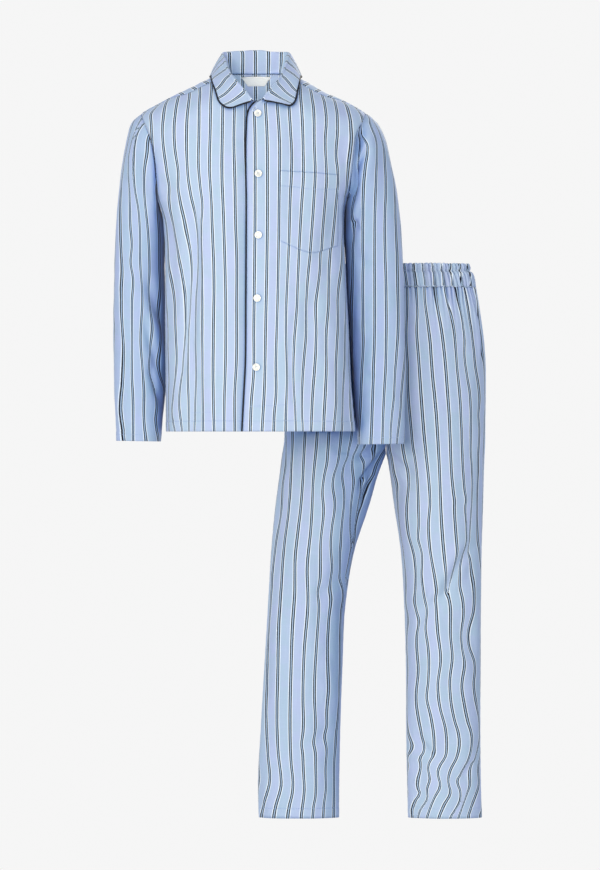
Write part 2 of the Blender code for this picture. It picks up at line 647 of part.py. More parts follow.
def folded(name, place, outer):
    """The surface with the folds of the piece called name pressed into it."""
    own = [fold for fold in FOLDS if fold.piece == name]
    if not own:
        return place

    def pressed(a, b):
        depth = 0 * a
        for fold in own:
            run_a, run_b = fold.end[0] - fold.start[0], fold.end[1] - fold.start[1]
            length = math.hypot(run_a, run_b)
            along = ((a - fold.start[0]) * run_a + (b - fold.start[1]) * run_b) / length**2
            off = ((a - fold.start[0]) * run_b - (b - fold.start[1]) * run_a) / length
            fade = eased(along / FOLD_FADE) * eased((1 - along) / FOLD_FADE)
            depth = depth + fold.depth * fade * np.exp(-((off / fold.width) ** 2))
        # The cloth stays where it is at its side edges and its top, so that seams still meet.
        hold = eased(np.minimum(a, 1 - a) / FOLD_HOLD) * eased((1 - b) / FOLD_HOLD)
        return place(a, b) - (depth * hold)[..., None] * unit_normals(place, a, b, outer)

    return pressed


def front_shares(side, x, z):
    """The shares across and up a front at a place on it."""
    edge = front_angle(side, 0 * x, z)
    across = (torso_angle(x, z, FRONT) - edge) / (side * edge_angle(z, FRONT) - edge)
    return across, (z - SHIRT_HEM) / (front_column_top(side, across) - SHIRT_HEM)


def on_left_front(x, z):
    """A place on the wearer's left front, folds included, and the unit normal there."""
    panel = folded("shirt_front_left", front(LEFT), LEFT)
    across, up = front_shares(LEFT, x, z)
    return panel(across, up), unit_normals(panel, across, up, LEFT)


def pocket(across, up):
    """The pocket's outer face, laid on the wearer's left front and following its folds."""
    x = smooth(POCKET, "across", "x", across)
    low, high = smooth(POCKET, "across", "bottom", across), smooth(POCKET, "across", "top", across)
    points, normal = on_left_front(x, low + (high - low) * up)
    return points + normal * (LIFT + POCKET_WALL)


def behind_label(across, up):
    """The yoke's outer face behind the label, which narrows downwards from the neck seam."""
    high, low = LABEL_TURN
    half = LABEL_BOTTOM_HALF + (LABEL_TOP_HALF - LABEL_BOTTOM_HALF) * up
    return over_shoulder(half * (2 * across - 1), low + (high - low) * up)


def neck_label(across, up):
    """The label's visible face, hung from the neck seam inside the back."""
    normal = unit_normals(behind_label, across, up, 1)
    return behind_label(across, up) + normal * (WALL + LABEL_LIFT + LABEL_WALL)


# Making the objects


def clear_scene():
    for thing in list(bpy.data.objects):
        bpy.data.objects.remove(thing, do_unlink=True)


def new_collection(name, hidden=False):
    made = bpy.data.collections.new(name)
    bpy.context.scene.collection.children.link(made)
    made.hide_render = hidden
    return made


def new_material(name, color, roughness, metallic=0.0):
    made = bpy.data.materials.new(name)
    made.use_nodes = True
    shader = made.node_tree.nodes["Principled BSDF"]
    shader.inputs["Base Color"].default_value = (*color, 1.0)
    shader.inputs["Roughness"].default_value = roughness
    shader.inputs["Metallic"].default_value = metallic
    return made


def cloth(name, place, columns, rows, outer, material, wall=WALL, closed=False):
    """A wall bent over a surface, which place gives from shares across and up; outer is its visible side."""
    place = folded(name, place, outer)
    mesh = bmesh.new()
    bmesh.ops.create_grid(mesh, x_segments=len(columns) - 1, y_segments=len(rows) - 1, size=0.5)
    shares = np.array([vertex.co for vertex in mesh.verts]) + 0.5
    across = np.interp(shares[:, 0], np.linspace(0, 1, len(columns)), columns)
    up = np.interp(shares[:, 1], np.linspace(0, 1, len(rows)), rows)
    for vertex, point in zip(mesh.verts, place(across, up)):
        vertex.co = point
    if closed:
        bmesh.ops.remove_doubles(mesh, verts=mesh.verts, dist=1e-6)
    if outer < 0:
        bmesh.ops.reverse_faces(mesh, faces=mesh.faces)
    for face in mesh.faces:
        face.smooth = True
    made = bpy.data.meshes.new(name)
    mesh.to_mesh(made)
    mesh.free()
    piece = bpy.data.objects.new(name, made)
    solid = piece.modifiers.new("cloth wall", "SOLIDIFY")
    solid.thickness = wall
    solid.offset = -1
    made.materials.append(material)
    return piece


def cord(name, points, material):
    """A piping: a thin tube through the points."""
    curve = bpy.data.curves.new(name, "CURVE")
    curve.dimensions = "3D"
    curve.bevel_depth = PIPING_RADIUS
    curve.bevel_resolution = 1
    curve.use_fill_caps = True
    spline = curve.splines.new("POLY")
    spline.points.add(len(points) - 1)
    for spot, point in zip(spline.points, points):
        spot.co = (*point, 1.0)
    curve.materials.append(material)
    return bpy.data.objects.new(name, curve)


def beside(path, normal):
    """The path of a piping that runs along a wall's edge: beside it and in the middle of its thickness."""
    aside = np.cross(np.gradient(path, axis=0), normal)
    aside /= np.linalg.norm(aside, axis=-1, keepdims=True)
    return path + aside * PIPING_ASIDE - normal * WALL / 2


def front_piping(material, up):
    """Up the edge of the top layer, bent where that edge is."""
    up = np.append(up[:-1], PIPING_END)
    path = front(LEFT)(0 * up, up)
    normal = unit_normals(front(LEFT), 0 * up, up, LEFT)
    return cord("shirt_front_piping", beside(path, normal), material)


def collar_corner():
    """Shares along the collar, closer towards its very end, where the corner is round."""
    return COLLAR_CORNER[0] * (1 - np.cos(np.linspace(0, math.pi / 2, CORNER_POINTS)))


def collar_along(points):
    """Shares all the way along the collar, with both of its corners."""
    corner = collar_corner()
    middle = np.linspace(COLLAR_CORNER[0], 1 - COLLAR_CORNER[0], points)[1:-1]
    return np.concatenate([corner, middle, 1 - corner[::-1]])


def collar_piping(material):
    """Down the right end of the fall, along its edge all the way round, and up the left end."""
    down = np.linspace(FALL_SHARE, 1, FALL_ROWS)[:-1]
    along = collar_along(COLLAR_PIPING_POINTS)
    at = np.concatenate([0 * down, along, 0 * down + 1])
    out = np.concatenate([down, np.ones(len(along)), down[::-1]])
    normal = unit_normals(collar, np.clip(at, *COLLAR_INSIDE), np.clip(out, *COLLAR_INSIDE), 1)
    return cord("shirt_collar_piping", beside(collar(at, out), normal), material)


def hole_cutter(x, y, cutters):
    mesh = bpy.data.meshes.new("button_hole")
    hole = bmesh.new()
    radius = BUTTON_HOLE_RADIUS
    sizes = {"radius1": radius, "radius2": radius, "depth": CUTTER_LENGTH}
    bmesh.ops.create_cone(hole, cap_ends=True, segments=BUTTON_HOLE_SIDES, **sizes)
    hole.to_mesh(mesh)
    hole.free()
    cutter = bpy.data.objects.new("button_hole", mesh)
    cutter.location = (x * BUTTON_HOLE_SPACING / 2, y * BUTTON_HOLE_SPACING / 2, 0)
    cutter.hide_render = True
    cutter.display_type = "WIRE"
    cutters.objects.link(cutter)
    return cutter


def button_shape(material, cutters):
    """A dished button with a raised rim and four holes, standing on its own base."""
    section = [(r * BUTTON_RADIUS, 0, h * BUTTON_HEIGHT) for r, h in BUTTON_SECTION]
    mesh = bpy.data.meshes.new("button")
    mesh.from_pydata(section, [(i, i + 1) for i in range(len(section) - 1)], [])
    turned = bpy.data.objects.new("button", mesh)
    screw = turned.modifiers.new("turned", "SCREW")
    screw.steps = BUTTON_SIDES
    screw.render_steps = BUTTON_SIDES
    screw.use_merge_vertices = True
    screw.merge_threshold = BUTTON_MERGE
    bpy.context.scene.collection.objects.link(turned)
    holes = [hole_cutter(x, y, cutters) for x in (-1, 1) for y in (-1, 1)]
    for hole in holes:
        cut = turned.modifiers.new("hole", "BOOLEAN")
        cut.operation = "DIFFERENCE"
        cut.object = hole
    bpy.context.view_layer.update()
    graph = bpy.context.evaluated_depsgraph_get()
    shape = bpy.data.meshes.new_from_object(turned.evaluated_get(graph))
    shape.materials.clear()
    shape.materials.append(material)
    for helper in [turned, *holes]:
        bpy.data.objects.remove(helper)
    return shape


def buttons(shape):
    made = []
    for number, row in enumerate(BUTTONS, 1):
        point, normal = on_left_front(np.array(row.x), np.array(row.z))
        button = bpy.data.objects.new(f"shirt_button_{number}", shape.copy())
        button.rotation_mode = "QUATERNION"
        button.rotation_quaternion = Vector(normal).to_track_quat("Z", "X")
        button.location = point + normal * BUTTON_LIFT
        made.append(button)
    return made


def even(count):
    return np.linspace(0, 1, count)


def shirt(cotton, piping, pearl, label, cutters):
    climb = 1 - (1 - even(FRONT_GRID.rows)) ** CLOSER_UP
    fronts = even(FRONT_GRID.columns) ** CLOSER_NECK
    pieces = [
        cloth("shirt_front_left", front(LEFT), fronts, climb, LEFT, cotton),
        cloth("shirt_front_right", front(RIGHT), fronts, climb, RIGHT, cotton),
        cloth("shirt_back", shirt_back, even(BACK_GRID.columns), climb, 1, cotton),
        cloth("shirt_yoke", yoke, even(YOKE_GRID.columns), even(YOKE_GRID.rows), 1, cotton),
    ]
    around, rings = even(SLEEVE_GRID.columns), even(SLEEVE_GRID.rows) ** CLOSER_NECK
    for side, name in ((LEFT, "shirt_sleeve_left"), (RIGHT, "shirt_sleeve_right")):
        pieces.append(cloth(name, sleeve(side), around, rings, side, cotton, closed=True))
    stand = np.linspace(0, STAND_SHARE, STAND_ROWS)[:-1]
    roll = np.linspace(STAND_SHARE, FALL_SHARE, ROLL_ROWS)[:-1]
    down = np.concatenate([stand, roll, np.linspace(FALL_SHARE, 1, FALL_ROWS)])
    pieces.append(cloth("shirt_collar", collar, collar_along(COLLAR_COLUMNS), down, 1, cotton))
    across, up = even(POCKET_GRID.columns), even(POCKET_GRID.rows)
    pieces.append(cloth("shirt_pocket", pocket, across, up, 1, cotton, wall=POCKET_WALL))
    across, up = even(LABEL_GRID.columns), even(LABEL_GRID.rows)
    pieces.append(cloth("shirt_neck_label", neck_label, across, up, 1, label, wall=LABEL_WALL))
    pieces.append(front_piping(piping, climb))
    pieces.append(collar_piping(piping))
    return pieces + buttons(button_shape(pearl, cutters))


def trousers(cotton):
    across, climb = even(LEG_GRID.columns), even(LEG_GRID.rows)
    pieces = []
    for side, side_name in ((LEFT, "left"), (RIGHT, "right")):
        for face, face_name in ((FRONT, "front"), (BACK, "back")):
            name = f"trousers_{face_name}_{side_name}"
            pieces.append(cloth(name, trouser_panel(side, face), across, climb, side * face, cotton))
    around, up = even(2 * WAIST_GATHERS + 1), even(WAISTBAND_ROWS)
    pieces.append(cloth("trousers_waistband", waistband, around, up, 1, cotton, closed=True))
    return pieces


def main():
    clear_scene()
    collection = new_collection(SET_NAME)
    cutters = new_collection(CUTTERS_NAME, hidden=True)
    cotton = new_material("striped_cotton", COTTON, 0.85)
    piping = new_material("piping", PIPING, 0.7)
    pearl = new_material("button_pearl", PEARL, 0.25)
    label = new_material("neck_label", LABEL, 0.8)
    for piece in shirt(cotton, piping, pearl, label, cutters) + trousers(cotton):
        collection.objects.link(piece)


main()
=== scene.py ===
"""The looks of a pyjama set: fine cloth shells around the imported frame, with their stripes, folds and trim.

Metres: X runs to the wearer's left, -Y to the front and +Z up. The origin is in the neck opening.
"""

import math
from collections import namedtuple

import bmesh
import bpy
import numpy as np
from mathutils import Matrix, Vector


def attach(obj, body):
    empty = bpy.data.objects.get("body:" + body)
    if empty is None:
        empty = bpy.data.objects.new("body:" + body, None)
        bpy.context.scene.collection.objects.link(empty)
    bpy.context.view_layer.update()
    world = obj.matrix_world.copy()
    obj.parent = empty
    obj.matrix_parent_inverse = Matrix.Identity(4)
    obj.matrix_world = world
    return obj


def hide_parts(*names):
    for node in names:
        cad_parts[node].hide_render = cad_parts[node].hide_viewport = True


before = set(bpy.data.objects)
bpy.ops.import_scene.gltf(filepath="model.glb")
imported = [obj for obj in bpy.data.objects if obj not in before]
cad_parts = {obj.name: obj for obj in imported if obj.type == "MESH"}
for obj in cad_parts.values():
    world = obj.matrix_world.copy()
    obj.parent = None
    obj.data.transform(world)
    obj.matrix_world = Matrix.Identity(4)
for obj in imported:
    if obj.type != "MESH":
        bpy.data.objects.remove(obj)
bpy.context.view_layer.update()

RIGHT = -1
LEFT = 1
FRONT = -1
BACK = 1

WALL = 0.0010
SEAM = 0.0001  # what each panel keeps clear of a seam
FOLD_FADE = 0.3  # share of a fold's length over which it fades at each end
FOLD_HOLD = 0.12  # share of a piece over which its seams hold the folds flat
SMALL_STEP = 1e-4
TINY = 1e-12
CLOTH_MAP = "cloth"
BISECTIONS = 40
ARMHOLE_ROUNDS = 8


def table(columns, rows):
    """Rows of numbers, with a name for each column."""
    row = namedtuple("Row", columns)
    return [row(*values) for values in rows]


# The shirt's body, level by level: the sides below the armpit and the armhole seams above it.
TORSO = table("z right left front back", [
    (-0.704, -0.180, 0.196, 0.138, 0.130),
    (-0.600, -0.181, 0.190, 0.139, 0.130),
    (-0.480, -0.182, 0.185, 0.139, 0.131),
    (-0.360, -0.182, 0.178, 0.139, 0.133),
    (-0.296, -0.184, 0.176, 0.139, 0.135),
    (-0.262, -0.189, 0.178, 0.139, 0.136),
    (-0.236, -0.198, 0.184, 0.138, 0.136),
    (-0.200, -0.199, 0.189, 0.136, 0.135),
    (-0.160, -0.202, 0.194, 0.131, 0.133),
    (-0.114, -0.212, 0.200, 0.122, 0.128),
    (-0.068, -0.230, 0.220, 0.110, 0.116),
    (-0.020, -0.236, 0.226, 0.094, 0.095),
    (0.030, -0.238, 0.228, 0.080, 0.080),
])
TORSO_ROUNDNESS = 2.4  # 2 is an ellipse and more is squarer
SHIRT_HEM = -0.703
FRONT_HIGHEST = 0.020  # above the top of both fronts
ARMPIT = -0.236
ARMHOLE_DEPTH = 0.068  # from the side line to the front or back of the armhole
ARMHOLE_CURVE = 0.085  # height over which the armhole widens from the armpit

# The shoulder line seen from the front, from the wearer's right to left.
SHOULDER = table("x z", [
    (-0.246, -0.083),
    (-0.230, -0.068),
    (-0.196, -0.048),
    (-0.132, -0.016),
    (-0.098, 0.001),
    (-0.070, 0.013),
    (0.000, 0.024),
    (0.070, 0.012),
    (0.092, 0.000),
    (0.154, -0.032),
    (0.202, -0.056),
    (0.220, -0.067),
    (0.240, -0.082),
])
SHOULDER_ROUND = 0.070  # height over which the cloth turns over the shoulder
YOKE_FRONT_DROP = 0.010
YOKE_BACK_Z = -0.100
NECK_SIDE = 0.0745
NECK_BACK_TURN = 0.55  # how far the neckline goes round the shoulder, in radians
NECK_FRONT_TURN = 1.15
NECK_FRONT_Z = -0.046
NECK_FRONT_CURVE = 1.5
YOKE_ARMHOLE_SHARE = 0.2  # share of the yoke's outer edge that lies along each armhole
YOKE_SEAM_SECTION = 0.09  # size of the section at the front seam, which turns its gap into an angle
SHOULDER_POINT_Z = -0.068

# The front edge of the top layer, which the piping follows, and how the layer below is set back.
FRONT_EDGE = table("z x", [
    (-0.704, -0.0260),
    (-0.640, -0.0228),
    (-0.580, -0.0195),
    (-0.440, -0.0182),
    (-0.250, -0.0174),
    (-0.100, -0.0174),
    (-0.076, -0.0160),
    (-0.064, -0.0130),
    (-0.054, -0.0065),
    (-0.047, 0.0020),
    (-0.043, 0.0095),
])
UNDERLAP_EDGE = 0.018
UNDERLAP_SETBACK = 0.0044
UNDERLAP_STEP = (0.024, 0.007)  # the setback starts and is complete this far outside the front edge

# A sleeve, ring by ring from the armhole to the hem: its outer and inner edges seen from the front,
# and where its middle lies from front to back. x is measured away from the body's centre line.
SLEEVES = {
    RIGHT: table("at outer_x outer_z inner_x inner_z depth middle", [
        (0.00, 0.2300, -0.0680, 0.1980, -0.2360, 0.068, 0.000),
        (0.04, 0.2460, -0.0840, 0.1972, -0.2440, 0.071, 0.002),
        (0.10, 0.2585, -0.1130, 0.1955, -0.2550, 0.073, 0.008),
        (0.18, 0.2675, -0.1560, 0.1910, -0.2740, 0.072, 0.018),
        (0.27, 0.2755, -0.2150, 0.1857, -0.3040, 0.070, 0.028),
        (0.36, 0.2820, -0.2850, 0.1831, -0.3480, 0.066, 0.036),
        (0.46, 0.2860, -0.3640, 0.1820, -0.4040, 0.062, 0.041),
        (0.57, 0.2860, -0.4500, 0.1816, -0.4700, 0.058, 0.041),
        (0.69, 0.2862, -0.5400, 0.1816, -0.5480, 0.055, 0.039),
        (0.80, 0.2845, -0.6200, 0.1831, -0.6240, 0.053, 0.037),
        (0.90, 0.2815, -0.6800, 0.1870, -0.6820, 0.051, 0.034),
        (1.00, 0.2790, -0.7215, 0.1910, -0.7230, 0.050, 0.032),
    ]),
    LEFT: table("at outer_x outer_z inner_x inner_z depth middle", [
        (0.00, 0.2200, -0.0670, 0.1840, -0.2360, 0.068, 0.000),
        (0.04, 0.2400, -0.0810, 0.1850, -0.2460, 0.071, 0.002),
        (0.10, 0.2570, -0.1100, 0.1850, -0.2590, 0.073, 0.008),
        (0.18, 0.2690, -0.1570, 0.1835, -0.2800, 0.072, 0.018),
        (0.27, 0.2820, -0.2200, 0.1795, -0.3120, 0.070, 0.028),
        (0.36, 0.2900, -0.2900, 0.1790, -0.3560, 0.066, 0.036),
        (0.46, 0.2950, -0.3660, 0.1815, -0.4100, 0.062, 0.041),
        (0.57, 0.2975, -0.4520, 0.1863, -0.4740, 0.058, 0.041),
        (0.69, 0.2985, -0.5420, 0.1900, -0.5500, 0.055, 0.039),
        (0.80, 0.2985, -0.6220, 0.1950, -0.6260, 0.053, 0.037),
        (0.90, 0.2975, -0.6840, 0.1995, -0.6860, 0.051, 0.034),
        (1.00, 0.2960, -0.7280, 0.2040, -0.7290, 0.050, 0.032),
    ]),
}
SLEEVE_ROUNDNESS = 2.2
SLEEVE_HEAD = 0.22  # share of the sleeve over which the armhole's shape becomes a plain oval

# The collar from the wearer's right front, round the back, to the left front: the roll line on top of
# the stand, and the outer edge of the fall. The neck seam comes from the shirt's own neckline.
COLLAR = table("at roll_x roll_y roll_z edge_x edge_y edge_z", [
    (0.00, -0.005, -0.1130, -0.043, -0.054, -0.1140, -0.0605),
    (0.10, -0.018, -0.0990, -0.025, -0.071, -0.1040, -0.0480),
    (0.20, -0.038, -0.0750, -0.002, -0.079, -0.0880, -0.0250),
    (0.30, -0.054, -0.0400, 0.023, -0.088, -0.0530, -0.0010),
    (0.38, -0.060, 0.0000, 0.046, -0.0890, -0.0050, 0.0090),
    (0.44, -0.059, 0.0360, 0.058, -0.083, 0.0460, 0.0070),
    (0.50, 0.000, 0.0640, 0.062, 0.000, 0.0880, -0.0050),
    (0.56, 0.059, 0.0360, 0.058, 0.083, 0.0460, 0.0070),
    (0.62, 0.060, 0.0000, 0.046, 0.0875, -0.0050, 0.0085),
    (0.70, 0.054, -0.0400, 0.023, 0.087, -0.0520, -0.0020),
    (0.80, 0.042, -0.0750, -0.002, 0.082, -0.0880, -0.0260),
    (0.90, 0.024, -0.0990, -0.025, 0.077, -0.1040, -0.0460),
    (1.00, 0.012, -0.1120, -0.041, 0.067, -0.1140, -0.0560),
])
COLLAR_ENDS = {RIGHT: -0.004, LEFT: 0.012}  # where the neck seam ends at the front
COLLAR_FOLD = 0.0030  # radius of the roll
COLLAR_CLEAR = 0.0002  # from the neckline up to the collar's own seam
COLLAR_BULGE = 0.0015
COLLAR_SEAM_SHARE = 0.30  # share of the neck seam that lies along each front
STAND_SHARE = 0.25  # the stand ends and the fall begins at these shares of the collar's depth
FALL_SHARE = 0.45
COLLAR_CORNER = (0.030, 0.14)  # how far each corner is rounded off, in shares along and down

# The chest pocket, across and down the wearer's left front.
POCKET = table("across x top bottom", [
    (0.00, 0.048, -0.186, -0.325),
    (0.45, 0.106, -0.189, -0.348),
    (1.00, 0.164, -0.193, -0.334),
])
LABEL_TOP_HALF = 0.030
LABEL_BOTTOM_HALF = 0.0168
LABEL_TURN = (0.62, 0.98)  # from the neck seam down the inside of the back, in radians
LABEL_WALL = 0.0010
LABEL_LIFT = 0.0014  # clearance from the cloth, which curves away behind it

# Where the buttons sit on the top layer.
BUTTONS = table("x z", [
    (0.0044, -0.0715),
    (0.0056, -0.1920),
    (0.0056, -0.3135),
    (0.0036, -0.4388),
    (0.0014, -0.5755),
])
BUTTON_RADIUS = 0.0076

PIPING_RADIUS = 0.0018
PIPING_ASIDE = -0.0013  # from the cloth's edge to the piping's middle
PIPING_END = 0.994

# The trousers, level by level. Seen from the front, each leg's oval runs from its outer to its inner x;
# above the crotch the inner x lies past the centre seam, which cuts the oval.
TROUSERS_CENTRE = 0.2625
TROUSERS_BEHIND = 0.2230  # from the shirt's middle plane to the trousers' own
TROUSER_HEM = -1.486
WAIST_TOP = -0.363
WAIST_SEAM = -0.411
LEGS = {
    LEFT: table("z outer inner front back", [
        (-0.358, 0.1630, -0.1630, 0.106, 0.112),
        (-0.411, 0.1800, -0.1800, 0.117, 0.124),
        (-0.480, 0.1945, -0.1880, 0.125, 0.134),
        (-0.550, 0.2020, -0.1750, 0.128, 0.140),
        (-0.620, 0.2030, -0.1050, 0.127, 0.140),
        (-0.690, 0.2020, -0.0380, 0.122, 0.134),
        (-0.730, 0.2015, -0.0080, 0.117, 0.128),
        (-0.750, 0.2005, 0.0004, 0.114, 0.124),
        (-0.790, 0.1990, 0.0080, 0.109, 0.116),
        (-0.846, 0.1975, 0.0155, 0.102, 0.106),
        (-0.945, 0.1945, 0.0300, 0.092, 0.095),
        (-1.045, 0.1930, 0.0365, 0.083, 0.087),
        (-1.180, 0.1925, 0.0405, 0.074, 0.078),
        (-1.310, 0.1920, 0.0410, 0.068, 0.070),
        (-1.420, 0.1930, 0.0430, 0.064, 0.066),
        (-1.490, 0.1950, 0.0450, 0.063, 0.065),
    ]),
    RIGHT: table("z outer inner front back", [
        (-0.358, 0.1630, -0.1630, 0.106, 0.112),
        (-0.411, 0.1800, -0.1800, 0.117, 0.124),
        (-0.480, 0.1945, -0.1880, 0.125, 0.134),
        (-0.550, 0.2020, -0.1750, 0.128, 0.140),
        (-0.620, 0.2040, -0.1050, 0.127, 0.140),
        (-0.690, 0.2060, -0.0380, 0.122, 0.134),
        (-0.730, 0.2075, -0.0080, 0.117, 0.128),
        (-0.750, 0.2110, 0.0004, 0.114, 0.124),
        (-0.790, 0.2160, 0.0160, 0.109, 0.116),
        (-0.846, 0.2235, 0.0320, 0.102, 0.106),
        (-0.945, 0.2330, 0.0640, 0.092, 0.095),
        (-1.045, 0.2390, 0.0810, 0.083, 0.087),
        (-1.180, 0.2470, 0.0880, 0.074, 0.078),
        (-1.310, 0.2545, 0.0925, 0.066, 0.068),
        (-1.420, 0.2600, 0.0945, 0.060, 0.062),
        (-1.490, 0.2580, 0.0950, 0.058, 0.060),
    ]),
}
WAIST_GATHERS = 94
LEG_CLOSED = 0.98 * math.pi  # past this angle a leg's oval is whole, and its panels meet at the inseam

# The largest folds of each piece: soft troughs (positive depth) or ridges (negative depth) from one point
# to another, in shares of its width and height.
Fold = namedtuple("Fold", "start end width depth")
FOLDS = {
    "shirt_front_right": [
        Fold((0.42, -0.10), (0.50, 0.66), 0.080, 0.0055),
        Fold((0.28, -0.10), (0.32, 0.46), 0.070, -0.0030),
    ],
    "shirt_front_left": [
        Fold((0.26, -0.10), (0.40, 0.50), 0.080, 0.0035),
        Fold((0.54, -0.10), (0.70, 0.46), 0.090, -0.0035),
    ],
    "shirt_back": [
        Fold((0.24, -0.10), (0.16, 0.80), 0.050, 0.0060),
        Fold((0.74, -0.10), (0.84, 0.82), 0.050, 0.0060),
    ],
    "shirt_sleeve_right": [
        Fold((0.25, 0.45), (0.46, 0.62), 0.040, 0.0045),
        Fold((0.28, 0.72), (0.46, 0.84), 0.040, 0.0040),
    ],
    "shirt_sleeve_left": [
        Fold((0.28, 0.18), (0.44, 0.33), 0.040, 0.0045),
        Fold((0.22, 0.60), (0.44, 0.72), 0.040, 0.0040),
    ],
    "trousers_front_right": [
        Fold((0.95, 0.61), (0.50, 0.70), 0.040, 0.0050),
        Fold((0.92, 0.55), (0.52, 0.64), 0.035, 0.0040),
    ],
    "trousers_front_left": [
        Fold((0.95, 0.60), (0.55, 0.68), 0.040, 0.0050),
        Fold((0.16, 0.47), (0.62, 0.40), 0.030, 0.0055),
        Fold((0.62, 0.38), (0.14, 0.33), 0.030, 0.0055),
        Fold((0.20, 0.18), (0.65, 0.13), 0.030, 0.0045),
    ],
    "trousers_back_left": [
        Fold((0.15, 0.42), (0.80, 0.37), 0.035, 0.0055),
    ],
    "trousers_back_right": [
        Fold((0.15, 0.40), (0.80, 0.36), 0.035, 0.0055),
    ],
}


def through(points, at):
    """A smooth curve through (key, value) points, read at keys."""
    keys, values = (np.array(column) for column in zip(*sorted(points)))
    slopes = np.gradient(values, keys)
    at = np.clip(at, keys[0], keys[-1])
    i = np.clip(np.searchsorted(keys, at, side="right") - 1, 0, len(keys) - 2)
    step = keys[i + 1] - keys[i]
    t = (at - keys[i]) / step
    return (
        (1 + 2 * t) * (1 - t) ** 2 * values[i]
        + t * (1 - t) ** 2 * step * slopes[i]
        + t**2 * (3 - 2 * t) * values[i + 1]
        + t**2 * (t - 1) * step * slopes[i + 1]
    )


def smooth(rows, key, name, at):
    """The column called name, read as a smooth curve over the column called key."""
    return through([(getattr(row, key), getattr(row, name)) for row in rows], at)


def eased(t):
    """0 below 0, 1 above 1 and smooth between."""
    t = np.clip(t, 0, 1)
    return t * t * (3 - 2 * t)


def power(value, exponent):
    """A power that keeps the sign of its base."""
    return np.sign(value) * np.abs(value) ** exponent


def bisected(miss, low, high):
    """Where the rising function miss is zero, for each pair of low and high."""
    for _ in range(BISECTIONS):
        middle = (low + high) / 2
        above = miss(middle) > 0
        high = np.where(above, middle, high)
        low = np.where(above, low, middle)
    return (low + high) / 2


# The shirt's body

YOKE_SEAM_TURN = math.acos(1 - YOKE_FRONT_DROP / SHOULDER_ROUND)
YOKE_TAPER = 0.85
YOKE_TAPER_START = 0.130
YOKE_TAPER_REACH = 0.060
YOKE_SEAM_GAP = SEAM / YOKE_SEAM_SECTION


def torso_centre(z):
    return (smooth(TORSO, "z", "right", z) + smooth(TORSO, "z", "left", z)) / 2


def torso_depth(z, face):
    return smooth(TORSO, "z", "front" if face == FRONT else "back", z)


def armhole_depth(z):
    rise = np.clip((z - ARMPIT) / ARMHOLE_CURVE, 0, 1)
    return np.maximum(ARMHOLE_DEPTH * np.sqrt(rise * (2 - rise)), SEAM)


def edge_angle(z, face):
    """The angle from the centre line at which the body's oval meets the side seam or the armhole."""
    return np.arccos((armhole_depth(z) / torso_depth(z, face)) ** (TORSO_ROUNDNESS / 2))


def torso_half_width(z, face):
    reach = (smooth(TORSO, "z", "left", z) - smooth(TORSO, "z", "right", z)) / 2
    return reach / np.sin(edge_angle(z, face)) ** (2 / TORSO_ROUNDNESS)


def shoulder_turn(x, z):
    """The angle by which the cloth has turned over the shoulder line, and on down past a quarter turn."""
    share = (smooth(SHOULDER, "x", "z", x) - z) / SHOULDER_ROUND
    return np.where(share < 1, np.arccos(np.clip(1 - share, 0, 1)), math.pi / 2 + share - 1)


def turned_drop(turn):
    """How far below the shoulder line the cloth is when it has turned this far."""
    share = np.where(turn < math.pi / 2, 1 - np.cos(turn), 1 + turn - math.pi / 2)
    return share * SHOULDER_ROUND


def torso_x(angle, z, face):
    return torso_centre(z) + torso_half_width(z, face) * power(np.sin(angle), 2 / TORSO_ROUNDNESS)


def torso_angle(x, z, face):
    share = np.clip((x - torso_centre(z)) / torso_half_width(z, face), -1, 1)
    return np.arcsin(power(share, TORSO_ROUNDNESS / 2))


def torso_point(angle, z, face):
    x = torso_x(angle, z, face)
    bulge = np.abs(np.cos(angle)) ** (2 / TORSO_ROUNDNESS)
    fullness = np.sin(np.minimum(shoulder_turn(x, z), math.pi / 2))
    return np.stack([x, face * torso_depth(z, face) * bulge * fullness, z + 0 * x], axis=-1)


def torso_at(x, z, face):
    return torso_point(torso_angle(x, z, face), z + 0 * x, face)


def neck_lean(turn):
    """The bearing, forwards of the side, at which the neckline has turned this far over the shoulder."""
    return math.asin(turn / NECK_FRONT_TURN)


def seam_turn(x):
    """How far the yoke's front seam has turned over the shoulder, which is less towards the armhole."""
    return YOKE_SEAM_TURN * (1 - YOKE_TAPER * eased((np.abs(x) - YOKE_TAPER_START) / YOKE_TAPER_REACH))


def front_top(x):
    """The height of a front's top edge: the neckline, then the yoke's front seam."""
    corner = NECK_SIDE * math.cos(neck_lean(YOKE_SEAM_TURN))
    seam_z = smooth(SHOULDER, "x", "z", x) - turned_drop(seam_turn(x) + YOKE_SEAM_GAP)
    corner_drop = turned_drop(YOKE_SEAM_TURN + YOKE_SEAM_GAP)
    corner_z = smooth(SHOULDER, "x", "z", np.sign(x) * corner) - corner_drop
    neck_z = NECK_FRONT_Z + (corner_z - NECK_FRONT_Z) * (np.abs(x) / corner) ** NECK_FRONT_CURVE
    return np.where(np.abs(x) < corner, neck_z, seam_z)


def front_angle(side, across, z):
    """The angle at a share of the way from the front edge to the side."""
    edge = smooth(FRONT_EDGE, "z", "x", z) if side == LEFT else UNDERLAP_EDGE + 0 * z
    start = torso_angle(edge, z, FRONT)
    return start + (side * edge_angle(z, FRONT) - start) * across


def front_column_top(side, across):
    """The height of the top edge at a share across a front."""

    def miss(z):
        return z - front_top(torso_x(front_angle(side, across, z), z, FRONT))

    return bisected(miss, SHIRT_HEM + 0 * across, FRONT_HIGHEST + 0 * across)


def front(side):
    """A front of the shirt, as a function of the shares across, from its edge, and up, from the hem."""

    def place(across, up):
        z = SHIRT_HEM + (front_column_top(side, across) - SHIRT_HEM) * up
        points = torso_point(front_angle(side, across, z), z, FRONT)
        if side == RIGHT:
            points[..., 1] += underlap_setback(points[..., 0], z)
        return points

    return place


